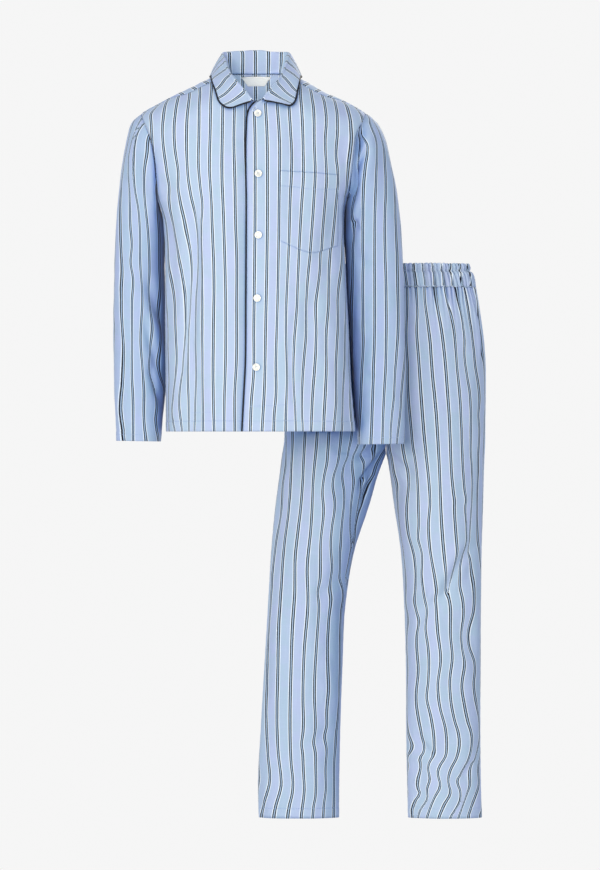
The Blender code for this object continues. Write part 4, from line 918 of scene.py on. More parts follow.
# The creases that the folded solids don't have, for each face of a piece. Each runs through points seen
# from the front, as (x, z). Positive depth is a trough, ridge is the share of it that stands up beside it,
# and pull is how far it draws the stripes aside.
Crease = namedtuple("Crease", "points width depth ridge pull")
CREASES = {
    ("shirt_front_right", FRONT): [
        Crease([(-0.128, -0.23), (-0.119, -0.30), (-0.117, -0.37), (-0.122, -0.45), (-0.130, -0.55),
                (-0.140, -0.62)], 0.008, 0.0050, 0.5, 0),
        Crease([(-0.134, -0.36), (-0.140, -0.48), (-0.148, -0.58), (-0.154, -0.66)],
               0.007, 0.0040, 0.5, 0),
        Crease([(-0.196, -0.24), (-0.172, -0.30), (-0.155, -0.37)], 0.009, 0.0030, 0.4, 0),
        Crease([(-0.190, -0.19), (-0.150, -0.25), (-0.128, -0.33)], 0.012, 0.0025, 0.4, 0),
    ],
    ("shirt_front_left", FRONT): [
        Crease([(0.180, -0.29), (0.150, -0.36), (0.120, -0.44), (0.100, -0.50)], 0.014, 0.0025, 0.4, 0),
        Crease([(0.083, -0.44), (0.072, -0.50), (0.069, -0.56), (0.074, -0.62), (0.083, -0.70)],
               0.007, 0.0035, -0.4, 0),
        Crease([(0.172, -0.24), (0.135, -0.33), (0.095, -0.43)], 0.016, 0.0022, 0.4, 0),
        Crease([(0.206, -0.08), (0.192, -0.115), (0.188, -0.17), (0.176, -0.235)],
               0.008, -0.0022, 0.0, 0),
    ],
    ("shirt_sleeve_left", FRONT): [
        Crease([(0.226, -0.06), (0.212, -0.095), (0.204, -0.125), (0.201, -0.17), (0.196, -0.21),
                (0.186, -0.27)], 0.016, 0.0170, 0.0, 0),
        Crease([(0.230, -0.130), (0.214, -0.160), (0.199, -0.20)], 0.006, 0.0060, -0.6, 0),
        Crease([(0.186, -0.283), (0.196, -0.288), (0.208, -0.302)], 0.005, 0.0035, 0.6, 0),
        Crease([(0.190, -0.34), (0.215, -0.37), (0.245, -0.38)], 0.012, 0.0022, 0.5, 0),
        Crease([(0.206, -0.58), (0.232, -0.60), (0.262, -0.59)], 0.012, 0.0022, 0.5, 0),
    ],
    ("shirt_sleeve_right", FRONT): [
        Crease([(-0.228, -0.454), (-0.210, -0.53), (-0.184, -0.616)], 0.008, 0.0050, 0.6, 0),
        Crease([(-0.213, -0.564), (-0.200, -0.62), (-0.186, -0.65)], 0.006, 0.0040, 0.6, 0),
        Crease([(-0.225, -0.38), (-0.205, -0.44), (-0.190, -0.50)], 0.012, 0.0035, 0.5, 0),
        Crease([(-0.238, -0.13), (-0.232, -0.20), (-0.214, -0.28)], 0.012, 0.0040, 0.5, 0),
        Crease([(-0.258, -0.42), (-0.250, -0.50), (-0.254, -0.58)], 0.010, 0.0025, 0.5, 0),
    ],
    ("trousers_front_right", FRONT): [
        Crease([(0.266, -0.722), (0.2605, -0.735), (0.243, -0.765), (0.218, -0.802), (0.210, -0.835)],
               0.0050, 0.0085, 0.5, 0.0015),
        Crease([(0.266, -0.742), (0.256, -0.757), (0.236, -0.790), (0.222, -0.826), (0.212, -0.860)],
               0.0045, 0.0065, 0.4, 0.001),
        Crease([(0.262, -0.700), (0.235, -0.738), (0.196, -0.765)], 0.008, 0.0060, 0.5, 0.003),
        Crease([(0.175, -0.98), (0.150, -1.02), (0.110, -1.04)], 0.014, 0.0030, 0.5, 0.003),
        Crease([(0.160, -1.30), (0.120, -1.33), (0.070, -1.34)], 0.014, 0.0025, 0.5, 0.003),
    ],
    ("trousers_front_left", FRONT): [
        Crease([(0.438, -0.430), (0.446, -0.456), (0.455, -0.490), (0.458, -0.530), (0.459, -0.580)],
               0.0035, 0.0060, -0.5, 0),
        Crease([(0.2645, -0.735), (0.285, -0.770), (0.318, -0.800)], 0.009, 0.0045, -0.5, 0.003),
        Crease([(0.264, -0.690), (0.292, -0.735), (0.325, -0.755)], 0.010, 0.0030, -0.5, 0.003),
        Crease([(0.352, -1.069), (0.382, -1.025), (0.413, -0.964), (0.449, -0.913)],
               0.010, 0.0050, 0.6, 0.005),
        Crease([(0.344, -1.067), (0.356, -1.048), (0.368, -1.029)], 0.006, 0.0035, 0.6, 0.003),
        Crease([(0.323, -1.098), (0.335, -1.080), (0.346, -1.063)], 0.006, 0.0035, 0.6, 0.003),
        Crease([(0.318, -1.318), (0.340, -1.340), (0.364, -1.366)], 0.007, 0.0045, 0.6, 0.005),
        Crease([(0.414, -1.404), (0.428, -1.385), (0.440, -1.364)], 0.007, 0.0040, 0.6, 0.004),
    ],
    ("trousers_back_right", BACK): [
        Crease([(0.252, -0.760), (0.205, -0.800), (0.130, -0.810)], 0.012, 0.0050, 0.5, 0.004),
        Crease([(0.180, -1.02), (0.120, -1.05), (0.050, -1.04)], 0.011, 0.0045, 0.5, 0.004),
        Crease([(0.175, -1.08), (0.110, -1.09), (0.045, -1.11)], 0.010, 0.0035, 0.5, 0.003),
    ],
    ("trousers_back_left", BACK): [
        Crease([(0.274, -0.760), (0.320, -0.800), (0.395, -0.812)], 0.012, 0.0050, -0.5, 0.004),
        Crease([(0.318, -1.03), (0.380, -1.05), (0.440, -1.03)], 0.011, 0.0045, 0.5, 0.004),
        Crease([(0.325, -1.09), (0.385, -1.10), (0.438, -1.12)], 0.010, 0.0035, 0.5, 0.003),
    ],
    ("shirt_back", BACK): [
        Crease([(-0.135, -0.19), (-0.125, -0.38), (-0.112, -0.69)], 0.018, 0.0045, 0.5, 0.002),
        Crease([(0.130, -0.20), (0.122, -0.42), (0.118, -0.69)], 0.018, 0.0045, 0.5, 0.002),
        Crease([(-0.175, -0.24), (-0.120, -0.30), (-0.060, -0.33)], 0.014, 0.0025, 0.5, 0.002),
        Crease([(0.175, -0.24), (0.125, -0.31), (0.070, -0.35)], 0.014, 0.0025, 0.5, 0.002),
    ],
    ("shirt_sleeve_right", BACK): [
        Crease([(-0.200, -0.40), (-0.240, -0.43), (-0.275, -0.42)], 0.011, 0.0045, 0.5, 0.003),
        Crease([(-0.200, -0.49), (-0.240, -0.48), (-0.272, -0.50)], 0.010, 0.0035, 0.5, 0.003),
    ],
    ("shirt_sleeve_left", BACK): [
        Crease([(0.200, -0.41), (0.245, -0.43), (0.280, -0.42)], 0.011, 0.0045, 0.5, 0.003),
        Crease([(0.202, -0.50), (0.250, -0.49), (0.285, -0.51)], 0.010, 0.0035, 0.5, 0.003),
    ],
}
CREASE_ENDS = 0.3  # share of a crease over which it fades at each end
CREASE_HOLD = 0.0035  # distance over which a seam holds a crease flat
CREASE_FACING = 0.4  # a crease fades where the cloth faces away from the front or back by more than this
RIDGE_OFF = 1.9  # where a crease's ridge stands beside it, and how wide it is, in widths of the crease
RIDGE_WIDTH = 1.3

# Soft waves all over the cloth: how long they are across and up, how high, and how many.
RIPPLES = table("across up height waves", [
    (0.085, 0.34, 0.0011, 9),
    (0.034, 0.11, 0.00024, 12),
    (0.014, 0.026, 0.00007, 14),
])
RIPPLE_SEED = 5
RIPPLE_SPREAD = (0.7, 1.4)  # how much shorter or longer than its kind a wave may be
RIPPLE_HOLD = 0.030  # distance over which a seam holds the waves flat

# Seams sink in and pucker. Free edges roll over, and hems stand up to the groove of their stitches.
SEAM_DIP = 0.0012
SEAM_DIP_WIDTH = 0.0022
PUCKER = 0.00028
PUCKER_LENGTH = 0.0105
PUCKER_REACH = 0.009
PUCKER_SWAY = 1.7  # how far a seam's puckers run early or late, in radians
PUCKER_SWAY_LENGTH = 0.031
HEM_PUCKER = 0.6 * PUCKER
EDGE_ROLL = 0.0004
EDGE_ROLL_WIDTH = 0.0015
HEM_RAISE = 0.0005
HEM_GROOVE = 0.0005
HEM_GROOVE_WIDTH = 0.0012

# What each of a piece's edges is: seamed, free, nothing at all, or the depth of its hem.
Edges = namedtuple("Edges", "start end low high")
SEAMED = "seamed"
FREE = "free"

# The fullness under each arm: its height, how far up and down it reaches, and how far it stands out.
UNDERARM = {RIGHT: (-0.295, 0.055, 0.010), LEFT: (-0.262, 0.048, 0.014)}
UNDERARM_FACING = 0.8
UNDERARM_BEHIND = 0.5

# The casing and its pleats, which swell, sink and crowd together in slow waves round the waist.
CASING_STITCH_Z = -0.3775
CASING_SWELL = 0.0014
CASING_GROOVE = 0.0042
CASING_GROOVE_WIDTH = 0.0028
GATHER_RISE = 0.00884
GATHER_LEVEL = 0.35
GATHER_NARROW = 3.0
GATHER_FADE = 0.032
GATHER_MEAN = 0.75
GATHER_SWELL = 0.35
GATHER_SWELL_WAVES = (11, 17)
GATHER_FLUTTER = 0.2
GATHER_FLUTTER_WAVES = 29
GATHER_SHIFT = 0.5
GATHER_SHIFT_WAVES = 19
SEAM_FILL = 0.0010
SEAM_FILL_WIDTH = 0.0026
SEAM_FILL_MEAN = 0.7
SEAM_FILL_WAVE = 0.5
GATHER_POINTS = 10  # columns of cloth for each pleat
LEG_COLUMNS = 142

# The stripes are counted as seen from the front up to here, and along the cloth where it turns away.
COUNT_FACING = 0.15
COUNT_BLEND = 0.30

# Where a piece turns from the front, its stripes follow a curve of this degree from top to bottom.
CALM_DEGREE = 6
SLEEVE_DEGREE = 0
BACK_DEGREE = 2
CALM_FACING = -0.05
CALM_BLEND = 0.25


# Reading the tables


def between_lines(name, pitch=WIDE_PITCH):
    """The stripe number of a place seen from the front, for a piece with lines of its own."""
    lines = sorted(STRIPES[name].items())

    def number(x, z):
        at = [through(line.items(), z / MILLIMETRE) * MILLIMETRE for _, line in lines]
        found = lines[0][0] + (x - at[0]) / pitch
        for (stripe, _), low, high in zip(lines, at, at[1:]):
            gap = np.where(high - low < MERGED_GAP, SMALL_STEP, np.maximum(high - low, NARROW_GAP))
            share = (x - low) / gap
            found = np.where(x > low, stripe + np.minimum(share, 1), found)
        past = (x - at[-1]) / pitch
        return np.where(past > 0, lines[-1][0] + past, found)

    return number


def leg_stripe(side):
    """The stripe number of a place on the back of a leg."""
    rows = LEG_STRIPES[side]

    def number(x, z):
        first = smooth(rows, "z", "x", z)
        return LEG_NUMBERS[side] + (x - first) / smooth(rows, "z", "pitch", z)

    return number


def waist_stripe(x, z):
    """The stripes of the casing go on from the legs' own at the seam."""
    x = x + WAIST_LEAN * (z - WAIST_SEAM)
    seam = WAIST_SEAM + 0 * z
    return np.where(x > TROUSERS_CENTRE, leg_stripe(LEFT)(x, seam), leg_stripe(RIGHT)(x, seam))


def back_stripe(x, z):
    """The shirt's back has plain upright stripes."""
    return x / WIDE_PITCH + 0 * z


def counted(points, normals, number, anchor, sign, pitch):
    """Stripe numbers over a grid: as seen from the front where it faces there, and by length elsewhere."""
    seen = number(points[..., 0], points[..., 2])
    facing = eased((np.abs(normals[..., 1]) - COUNT_FACING) / COUNT_BLEND)
    weight = (facing[:, 1:] + facing[:, :-1]) / 2
    length = np.linalg.norm(np.diff(points[..., :2], axis=1), axis=-1)
    steps = weight * np.abs(np.diff(seen, axis=1)) + (1 - weight) * length / pitch
    total = np.concatenate([np.zeros((len(points), 1)), np.cumsum(sign * steps, axis=1)], axis=1)
    return total + (seen[:, anchor] - total[:, anchor])[:, None]


def calmed(stripes, rows, normals, degree):
    """The stripes' numbers, which run smoothly from top to bottom where the cloth turns from the front."""
    terms = np.polynomial.legendre.legvander(2 * rows - 1, degree)
    smoothed = terms @ np.linalg.lstsq(terms, stripes, rcond=None)[0]
    facing = eased((-normals[..., 1] - CALM_FACING) / CALM_BLEND)
    return smoothed + (stripes - smoothed) * facing


# The fine cloth

Fine = namedtuple("Fine", "name columns rows points normals outer closed wall")


def grid_normals(points, outer, closed):
    """Unit normals of a grid of points, on its visible side."""
    if closed:
        ring = points[:, :-1]
        across = np.roll(ring, -1, axis=1) - np.roll(ring, 1, axis=1)
        across = np.concatenate([across, across[:, :1]], axis=1)
    else:
        across = np.gradient(points, axis=1)
    normals = np.cross(across, np.gradient(points, axis=0)) * outer
    return normals / np.maximum(np.linalg.norm(normals, axis=-1, keepdims=True), TINY)


def edge_lengths(points):
    """How far each point of a grid is from its four edges, along the grid."""
    across = np.linalg.norm(np.diff(points, axis=1), axis=-1)
    across = np.concatenate([np.zeros((len(points), 1)), np.cumsum(across, axis=1)], axis=1)
    up = np.linalg.norm(np.diff(points, axis=0), axis=-1)
    up = np.concatenate([np.zeros((1, points.shape[1])), np.cumsum(up, axis=0)], axis=0)
    return Edges(across, across[:, -1:] - across, up, up[-1:] - up)


def edge_relief(lengths, edges):
    """Seams sink and pucker, hems stand up to a stitched groove, and free edges roll over."""
    relief = 0 * lengths.start
    for name in Edges._fields:
        kind = getattr(edges, name)
        away = getattr(lengths, name)
        along = lengths.low if name in ("start", "end") else lengths.start
        if kind == SEAMED:
            sway = PUCKER_SWAY * np.sin(along / PUCKER_SWAY_LENGTH)
            wave = np.sin(2 * math.pi * along / PUCKER_LENGTH + sway)
            relief = relief - SEAM_DIP * np.exp(-((away / SEAM_DIP_WIDTH) ** 2))
            relief = relief + PUCKER * wave * np.exp(-away / PUCKER_REACH)
        elif kind:
            relief = relief - EDGE_ROLL * np.exp(-((away / EDGE_ROLL_WIDTH) ** 2))
            if kind != FREE:
                wave = np.sin(2 * math.pi * along / PUCKER_LENGTH)
                relief = relief + HEM_RAISE * eased((kind - away) / EDGE_ROLL_WIDTH + 0.5)
                relief = relief - HEM_GROOVE * np.exp(-(((away - kind) / HEM_GROOVE_WIDTH) ** 2))
                relief = relief + HEM_PUCKER * wave * np.exp(-np.abs(away - kind) / PUCKER_REACH)
    return relief


def fold_depth(name, a, b):
    """The depth of the solids' own folds at shares of the piece called name."""
    depth = 0 * a
    for fold in FOLDS.get(name, []):
        run_a, run_b = fold.end[0] - fold.start[0], fold.end[1] - fold.start[1]
        length = math.hypot(run_a, run_b)
        along = ((a - fold.start[0]) * run_a + (b - fold.start[1]) * run_b) / length**2
        off = ((a - fold.start[0]) * run_b - (b - fold.start[1]) * run_a) / length
        fade = eased(along / FOLD_FADE) * eased((1 - along) / FOLD_FADE)
        depth = depth + fold.depth * fade * np.exp(-((off / fold.width) ** 2))
    return depth * eased(np.minimum(a, 1 - a) / FOLD_HOLD) * eased((1 - b) / FOLD_HOLD)


def seam_hold(lengths, edges, reach):
    """0 at a piece's seams and 1 from this far inside them."""
    held = 1 + 0 * lengths.start
    for name in Edges._fields:
        if getattr(edges, name) == SEAMED:
            held = held * eased(getattr(lengths, name) / reach)
    return held


def rippled(points):
    """Soft waves that are longer up the cloth than across it, the same wherever pieces meet."""
    chance = np.random.default_rng(RIPPLE_SEED)
    height = 0 * points[..., 0]
    for ripple in RIPPLES:
        for _ in range(ripple.waves):
            bearing = chance.uniform(0, 2 * math.pi)
            spread = chance.uniform(*RIPPLE_SPREAD)
            rise = chance.normal(0, 1) / ripple.up
            wave = np.array([math.cos(bearing), math.sin(bearing)]) / ripple.across
            phase = points[..., 0] * wave[0] + points[..., 1] * wave[1] + points[..., 2] * rise
            shift = chance.uniform(0, 2 * math.pi)
            share = ripple.height * math.sqrt(2 / ripple.waves)
            height = height + share * np.sin(2 * math.pi * spread * phase + shift)
    return height


def off_path(path, x, z):
    """The signed distance from a path seen from the front, and the share along it."""
    lengths = [math.dist(a, b) for a, b in zip(path, path[1:])]
    off = np.full(x.shape, np.inf)
    along = 0 * x
    gone = 0
    for (ax, az), (bx, bz), length in zip(path, path[1:], lengths):
        dx, dz = bx - ax, bz - az
        share = np.clip(((x - ax) * dx + (z - az) * dz) / length**2, 0, 1)
        gap = np.hypot(x - ax - share * dx, z - az - share * dz)
        side = np.where(dx * (z - az) - dz * (x - ax) > 0, 1, -1)
        closer = gap < np.abs(off)
        off = np.where(closer, side * gap, off)
        along = np.where(closer, (gone + share * length) / sum(lengths), along)
        gone += length
    return off, along


def creased(name, points, normals):
    """The relief of a piece's creases, and how far they pull its stripes aside."""
    relief = 0 * points[..., 0]
    pulled = 0 * relief
    for face in (FRONT, BACK):
        facing = eased(face * normals[..., 1] / CREASE_FACING)
        for crease in CREASES.get((name, face), []):
            off, along = off_path(crease.points, points[..., 0], points[..., 2])
            fade = eased(along / CREASE_ENDS) * eased((1 - along) / CREASE_ENDS) * facing
            trough = np.exp(-((off / crease.width) ** 2))
            beside = off * np.sign(crease.ridge) / crease.width - RIDGE_OFF
            ridge = np.abs(crease.ridge) * np.exp(-((beside / RIDGE_WIDTH) ** 2))
            relief = relief + crease.depth * fade * (ridge - trough)
            pulled = pulled + crease.pull * fade * trough
    return relief, pulled


def gathered(points):
    """The pleats of the elastic waist, which die away below it."""
    z = points[..., 2]
    ahead = points[..., 1] < TROUSERS_BEHIND
    depth = np.where(ahead, leg_value(LEFT, "front", z), leg_value(LEFT, "back", z))
    aside = (points[..., 0] - TROUSERS_CENTRE) / leg_value(LEFT, "outer", z)
    angle = np.arctan2((points[..., 1] - TROUSERS_BEHIND) / depth, aside)
    swell = np.sin(GATHER_SWELL_WAVES[0] * angle + 1) * np.sin(GATHER_SWELL_WAVES[1] * angle)
    flutter = np.sin(GATHER_FLUTTER_WAVES * angle)
    uneven = GATHER_MEAN + GATHER_SWELL * swell + GATHER_FLUTTER * flutter
    wave = np.cos(WAIST_GATHERS * angle + GATHER_SHIFT * np.sin(GATHER_SHIFT_WAVES * angle))
    fade = np.where(z > WAIST_SEAM, 1, np.exp(-(WAIST_SEAM - z) / GATHER_FADE))
    pleats = GATHER_RISE * uneven * fade * (GATHER_LEVEL - np.abs((1 - wave) / 2) ** GATHER_NARROW)
    at_seam = np.exp(-(((z - WAIST_SEAM) / SEAM_FILL_WIDTH) ** 2))
    return pleats + SEAM_FILL * (SEAM_FILL_MEAN + SEAM_FILL_WAVE * wave) * at_seam


def waist_relief(points):
    """The casing swells over the elastic, up to the groove of its upper stitches."""
    z = points[..., 2]
    groove = np.exp(-(((z - CASING_STITCH_Z) / CASING_GROOVE_WIDTH) ** 2))
    over_elastic = np.clip((z - WAIST_SEAM) / (CASING_STITCH_Z - WAIST_SEAM), 0, 1)
    return CASING_SWELL * np.sin(math.pi * over_elastic) - CASING_GROOVE * groove


def underarm(side):
    """The fullness of a sleeve's inner side, which meets the body below the armpit."""
    height, reach, fullness = UNDERARM[side]

    def relief(points, normals):
        inward = eased(-side * normals[..., 0] / UNDERARM_FACING) * eased(UNDERARM_BEHIND + normals[..., 1])
        return fullness * inward * np.exp(-(((points[..., 2] - height) / reach) ** 2))

    return relief


def round_waist(around, up):
    """The casing, as a function of the share round it, from the left side over the back, and up."""
    z = WAIST_SEAM + (WAIST_TOP - WAIST_SEAM) * up
    angle = 2 * math.pi * around
    half = leg_value(LEFT, "outer", z)
    depth = np.where(np.sin(angle) < 0, leg_value(LEFT, "front", z), leg_value(LEFT, "back", z))
    x = TROUSERS_CENTRE + half * np.cos(angle)
    return np.stack([x, TROUSERS_BEHIND + depth * np.sin(angle), z], axis=-1)


def fine_grid(name, place, columns, rows, outer, edges, closed=False, wall=WALL, extra=None):
    """The displaced surface of a piece, on a grid of shares."""
    across, up = np.meshgrid(columns, rows)
    points = place(across, up)
    normals = grid_normals(points, outer, closed)
    lengths = edge_lengths(points)
    relief, pulled = creased(name, points, normals)
    relief = relief * seam_hold(lengths, edges, CREASE_HOLD) + edge_relief(lengths, edges)
    relief = relief + rippled(points) * seam_hold(lengths, edges, RIPPLE_HOLD)
    relief = relief - fold_depth(name, (across + 0.5) % 1 if closed else across, up)
    if extra:
        relief = relief + extra(points, normals)
    moved = points + normals * relief[..., None]
    fine = Fine(name, columns, rows, moved, grid_normals(moved, outer, closed), outer, closed, wall)
    return fine, points, normals, pulled


def shell(fine, stripes, lining=None):
    """A closed wall between a fine grid and the same grid one wall further in, with its own cloth map."""
    rows, columns = fine.points.shape[:2]
    wide = columns - 1 if fine.closed else columns
    ids = np.arange(rows)[:, None] * wide + np.arange(columns)[None, :] % wide
    corners = [ids[:-1, :-1], ids[:-1, 1:], ids[1:, 1:], ids[1:, :-1]]
    outside = np.stack(corners, axis=-1).reshape(-1, 4)
    inside = outside[:, ::-1] + rows * wide
    flat = np.stack([stripes, fine_lengths(fine)], axis=-1)
    lined = flat if lining is None else np.stack([lining, fine_lengths(fine)], axis=-1)
    maps = [whole_steps_left_out(quads(flat)), quads(lined)[:, ::-1]]
    faces = [outside, inside]
    for loop in rims(rows, columns, fine.closed):
        r, c = loop[:, 0], loop[:, 1]
        a, b = ids[r[:-1], c[:-1]], ids[r[1:], c[1:]]
        faces.append(np.stack([b, a, a + rows * wide, b + rows * wide], axis=-1))
        low, high = flat[r[:-1], c[:-1]], flat[r[1:], c[1:]]
        maps.append(np.stack([high, low, low, high], axis=1))
    faces = np.concatenate(faces)
    maps = np.concatenate(maps)
    if fine.outer < 0:
        faces, maps = faces[:, ::-1], maps[:, ::-1]
    inner = fine.points - fine.normals * fine.wall
    verts = np.concatenate([each[:, :wide].reshape(-1, 3) for each in (fine.points, inner)])
    return new_piece(fine.name + "_cloth", verts, faces, maps)


def rims(rows, columns, closed):
    """The grid's border, as runs of (row, column) that keep the cloth on their left."""
    c, r = np.arange(columns), np.arange(rows)
    runs = [np.stack([0 * c, c], axis=-1), np.stack([0 * c + rows - 1, c], axis=-1)[::-1]]
    if not closed:
        runs.append(np.stack([r, 0 * r + columns - 1], axis=-1))
        runs.append(np.stack([r, 0 * r], axis=-1)[::-1])
    return runs


def whole_steps_left_out(maps):
    """Where a fold swallows a stripe its number jumps by one, which no face may show."""
    first = maps[:, :1, 0]
    near = first + (maps[..., 0] - first + 0.5) % 1 - 0.5
    return np.stack([near, maps[..., 1]], axis=-1)


def quads(grid):
    """The four corners' values of each of a grid's faces."""
    return np.stack([grid[:-1, :-1], grid[:-1, 1:], grid[1:, 1:], grid[1:, :-1]], axis=2).reshape(-1, 4, 2)


def fine_lengths(fine):
    """How far up the cloth each point of a fine grid is."""
    return edge_lengths(fine.points).low


def in_scene(name, data):
    """A new object in the scene."""
    made = bpy.data.objects.new(name, data)
    bpy.context.scene.collection.objects.link(made)
    return made


def new_piece(name, verts, faces, maps=None):
    """A smooth mesh of its own, with its cloth map."""
    mesh = bpy.data.meshes.new(name)
    mesh.from_pydata(verts, [], faces)
    if maps is not None:
        layer = mesh.uv_layers.new(name=CLOTH_MAP)
        layer.uv.foreach_set("vector", np.ascontiguousarray(maps, dtype=np.float32).reshape(-1))
    mesh.polygons.foreach_set("use_smooth", np.ones(len(mesh.polygons), dtype=bool))
    mesh.update()
    return in_scene(name, mesh)


def on_fine(fine, across, up):
    """Points and normals of a fine grid at shares across and up it."""
    c = np.interp(across, fine.columns, np.arange(len(fine.columns)))
    r = np.interp(up, fine.rows, np.arange(len(fine.rows)))
    c0 = np.clip(c.astype(int), 0, len(fine.columns) - 2)
    r0 = np.clip(r.astype(int), 0, len(fine.rows) - 2)
    tc, tr = (c - c0)[..., None], (r - r0)[..., None]
    found = []
    for grid in (fine.points, fine.normals):
        low = grid[r0, c0] * (1 - tc) + grid[r0, c0 + 1] * tc
        high = grid[r0 + 1, c0] * (1 - tc) + grid[r0 + 1, c0 + 1] * tc
        found.append(low * (1 - tr) + high * tr)
    return found


# Materials


def linked(tree, kind, settings=None, **inputs):
    """A new node. Inputs are values, or other nodes' outputs to link to; their names use _ for spaces."""
    node = tree.nodes.new(kind)
    for name, value in (settings or {}).items():
        setattr(node, name, value)
    for name, value in inputs.items():
        key = int(name[1:]) if name[0] == "i" and name[1:].isdigit() else name.replace("_", " ")
        if isinstance(value, bpy.types.NodeSocket):
            tree.links.new(value, node.inputs[key])
        else:
            node.inputs[key].default_value = value
    return node


def maths(tree, operation, *values):
    """The output of a node that works something out."""
    inputs = {f"i{i}": value for i, value in enumerate(values)}
    return linked(tree, "ShaderNodeMath", {"operation": operation}, **inputs).outputs[0]


def mixed(tree, factor, a, b, blend="MIX"):
    """The colour between a and b, from the node's sockets for colours."""
    node = linked(tree, "ShaderNodeMix", {"data_type": "RGBA", "blend_type": blend}, i0=factor, i6=a, i7=b)
    return node.outputs[2]


def ramp(tree, value, stops):
    """A colour ramp through stops, each a position and a colour."""
    node = tree.nodes.new("ShaderNodeValToRGB")
    while len(node.color_ramp.elements) < len(stops):
        node.color_ramp.elements.new(0.5)
    for element, (position, color) in zip(node.color_ramp.elements, stops):
        element.position = position
        element.color = (*color, 1)
    tree.links.new(value, node.inputs[0])
    return node.outputs[0]


def new_material(name):
    """A new material and its nodes."""
    made = bpy.data.materials.new(name)
    made.use_nodes = True
    return made, made.node_tree


def srgb(r, g, b):
    """A colour of the usual 0 to 255 scale, in linear light."""
    return tuple(((v / 255 + 0.055) / 1.055) ** 2.4 for v in (r, g, b))


PALE_LINE = srgb(170, 192, 214)
DARK_LINE = srgb(6, 16, 36)
WHITE_LINE = srgb(240, 249, 255)
SKY = srgb(176, 197, 217)
LILAC = srgb(184, 196, 226)
LILAC_BAND = 0.45  # how much more lilac every other band of ground is
PATCHES = [(0.40, (0.0, 0.0, 0.0)), (0.60, (0.55, 0.55, 0.55))]

# The lines of one group, from its middle outwards, in halves of the pitch, and where the ground begins.
GROUP = [(0.000, PALE_LINE), (0.070, PALE_LINE), (0.084, DARK_LINE), (0.234, DARK_LINE),
         (0.250, WHITE_LINE), (0.356, WHITE_LINE)]
GROUND = [(0.346, (0, 0, 0)), (0.370, (1, 1, 1))]

# Single threads show as streaks: how many a pitch or a metre has, and how often they change lengthwise.
WARP_STREAKS = 70.0
WARP_CHANGES = 22.0
WEFT_STREAKS = 2600.0
WEFT_CHANGES = 0.9
WEFT_SHARE = 0.6
STREAKS = [(0.3, (0.90, 0.905, 0.92)), (0.7, (1.0, 1.0, 1.0))]
WEAVE_ACROSS = 284.0  # the weave's waves, in radians for each pitch and for each metre
WEAVE_UP = 12566.0
PIPING_RIB = 2600.0
LABEL_RIB = 3200.0
THREAD_RIB = 4000.0
RIB_DARKER = 0.7
PEARL_TONES = [(0.25, srgb(205, 203, 190)), (0.5, srgb(236, 234, 224)), (0.8, srgb(250, 247, 244))]

# Painted shade, multiplied into the cloth's colour: how far away other cloth darkens it, and the tones from
# closed to open.
Shade = namedtuple("Shade", "reach tones")
# Painted shade deep in folds, from cloth within 24 mm.
NEAR_SHADE = Shade(0.024, [
    (0.20, (0.36, 0.48, 0.72)), (0.70, (0.78, 0.86, 0.97)), (0.92, (1, 1, 1))])
# Painted shade that makes the sleeves darker and bluer all over, open cloth too, and more so near the body.
SLEEVE_SHADE = Shade(0.25, [
    (0.45, (0.60, 0.70, 0.86)), (0.90, (0.85, 0.89, 0.94)), (1, (0.88, 0.91, 0.955))])
# Painted shade, deep and blue, on the right leg within 250 mm of other cloth, near the shirt and between the
# legs.
THIGH_SHADE = Shade(0.25, [
    (0.45, (0.36, 0.49, 0.73)), (0.82, (0.68, 0.77, 0.89)), (0.98, (0.97, 0.98, 0.99))])
# Painted shade from cloth within 120 mm.
FAR_SHADE = Shade(0.12, [
    (0.45, (0.66, 0.75, 0.88)), (0.85, (0.97, 0.98, 1)), (0.95, (1, 1, 1))])


def finished(material, base, normal, **looks):
    """The material, with its base colour, its relief and its other looks set."""
    tree = material.node_tree
    shader = tree.nodes["Principled BSDF"]
    tree.links.new(base, shader.inputs["Base Color"])
    tree.links.new(normal.outputs[0], shader.inputs["Normal"])
    for name, value in looks.items():
        shader.inputs[name.replace("_", " ")].default_value = value
    return material


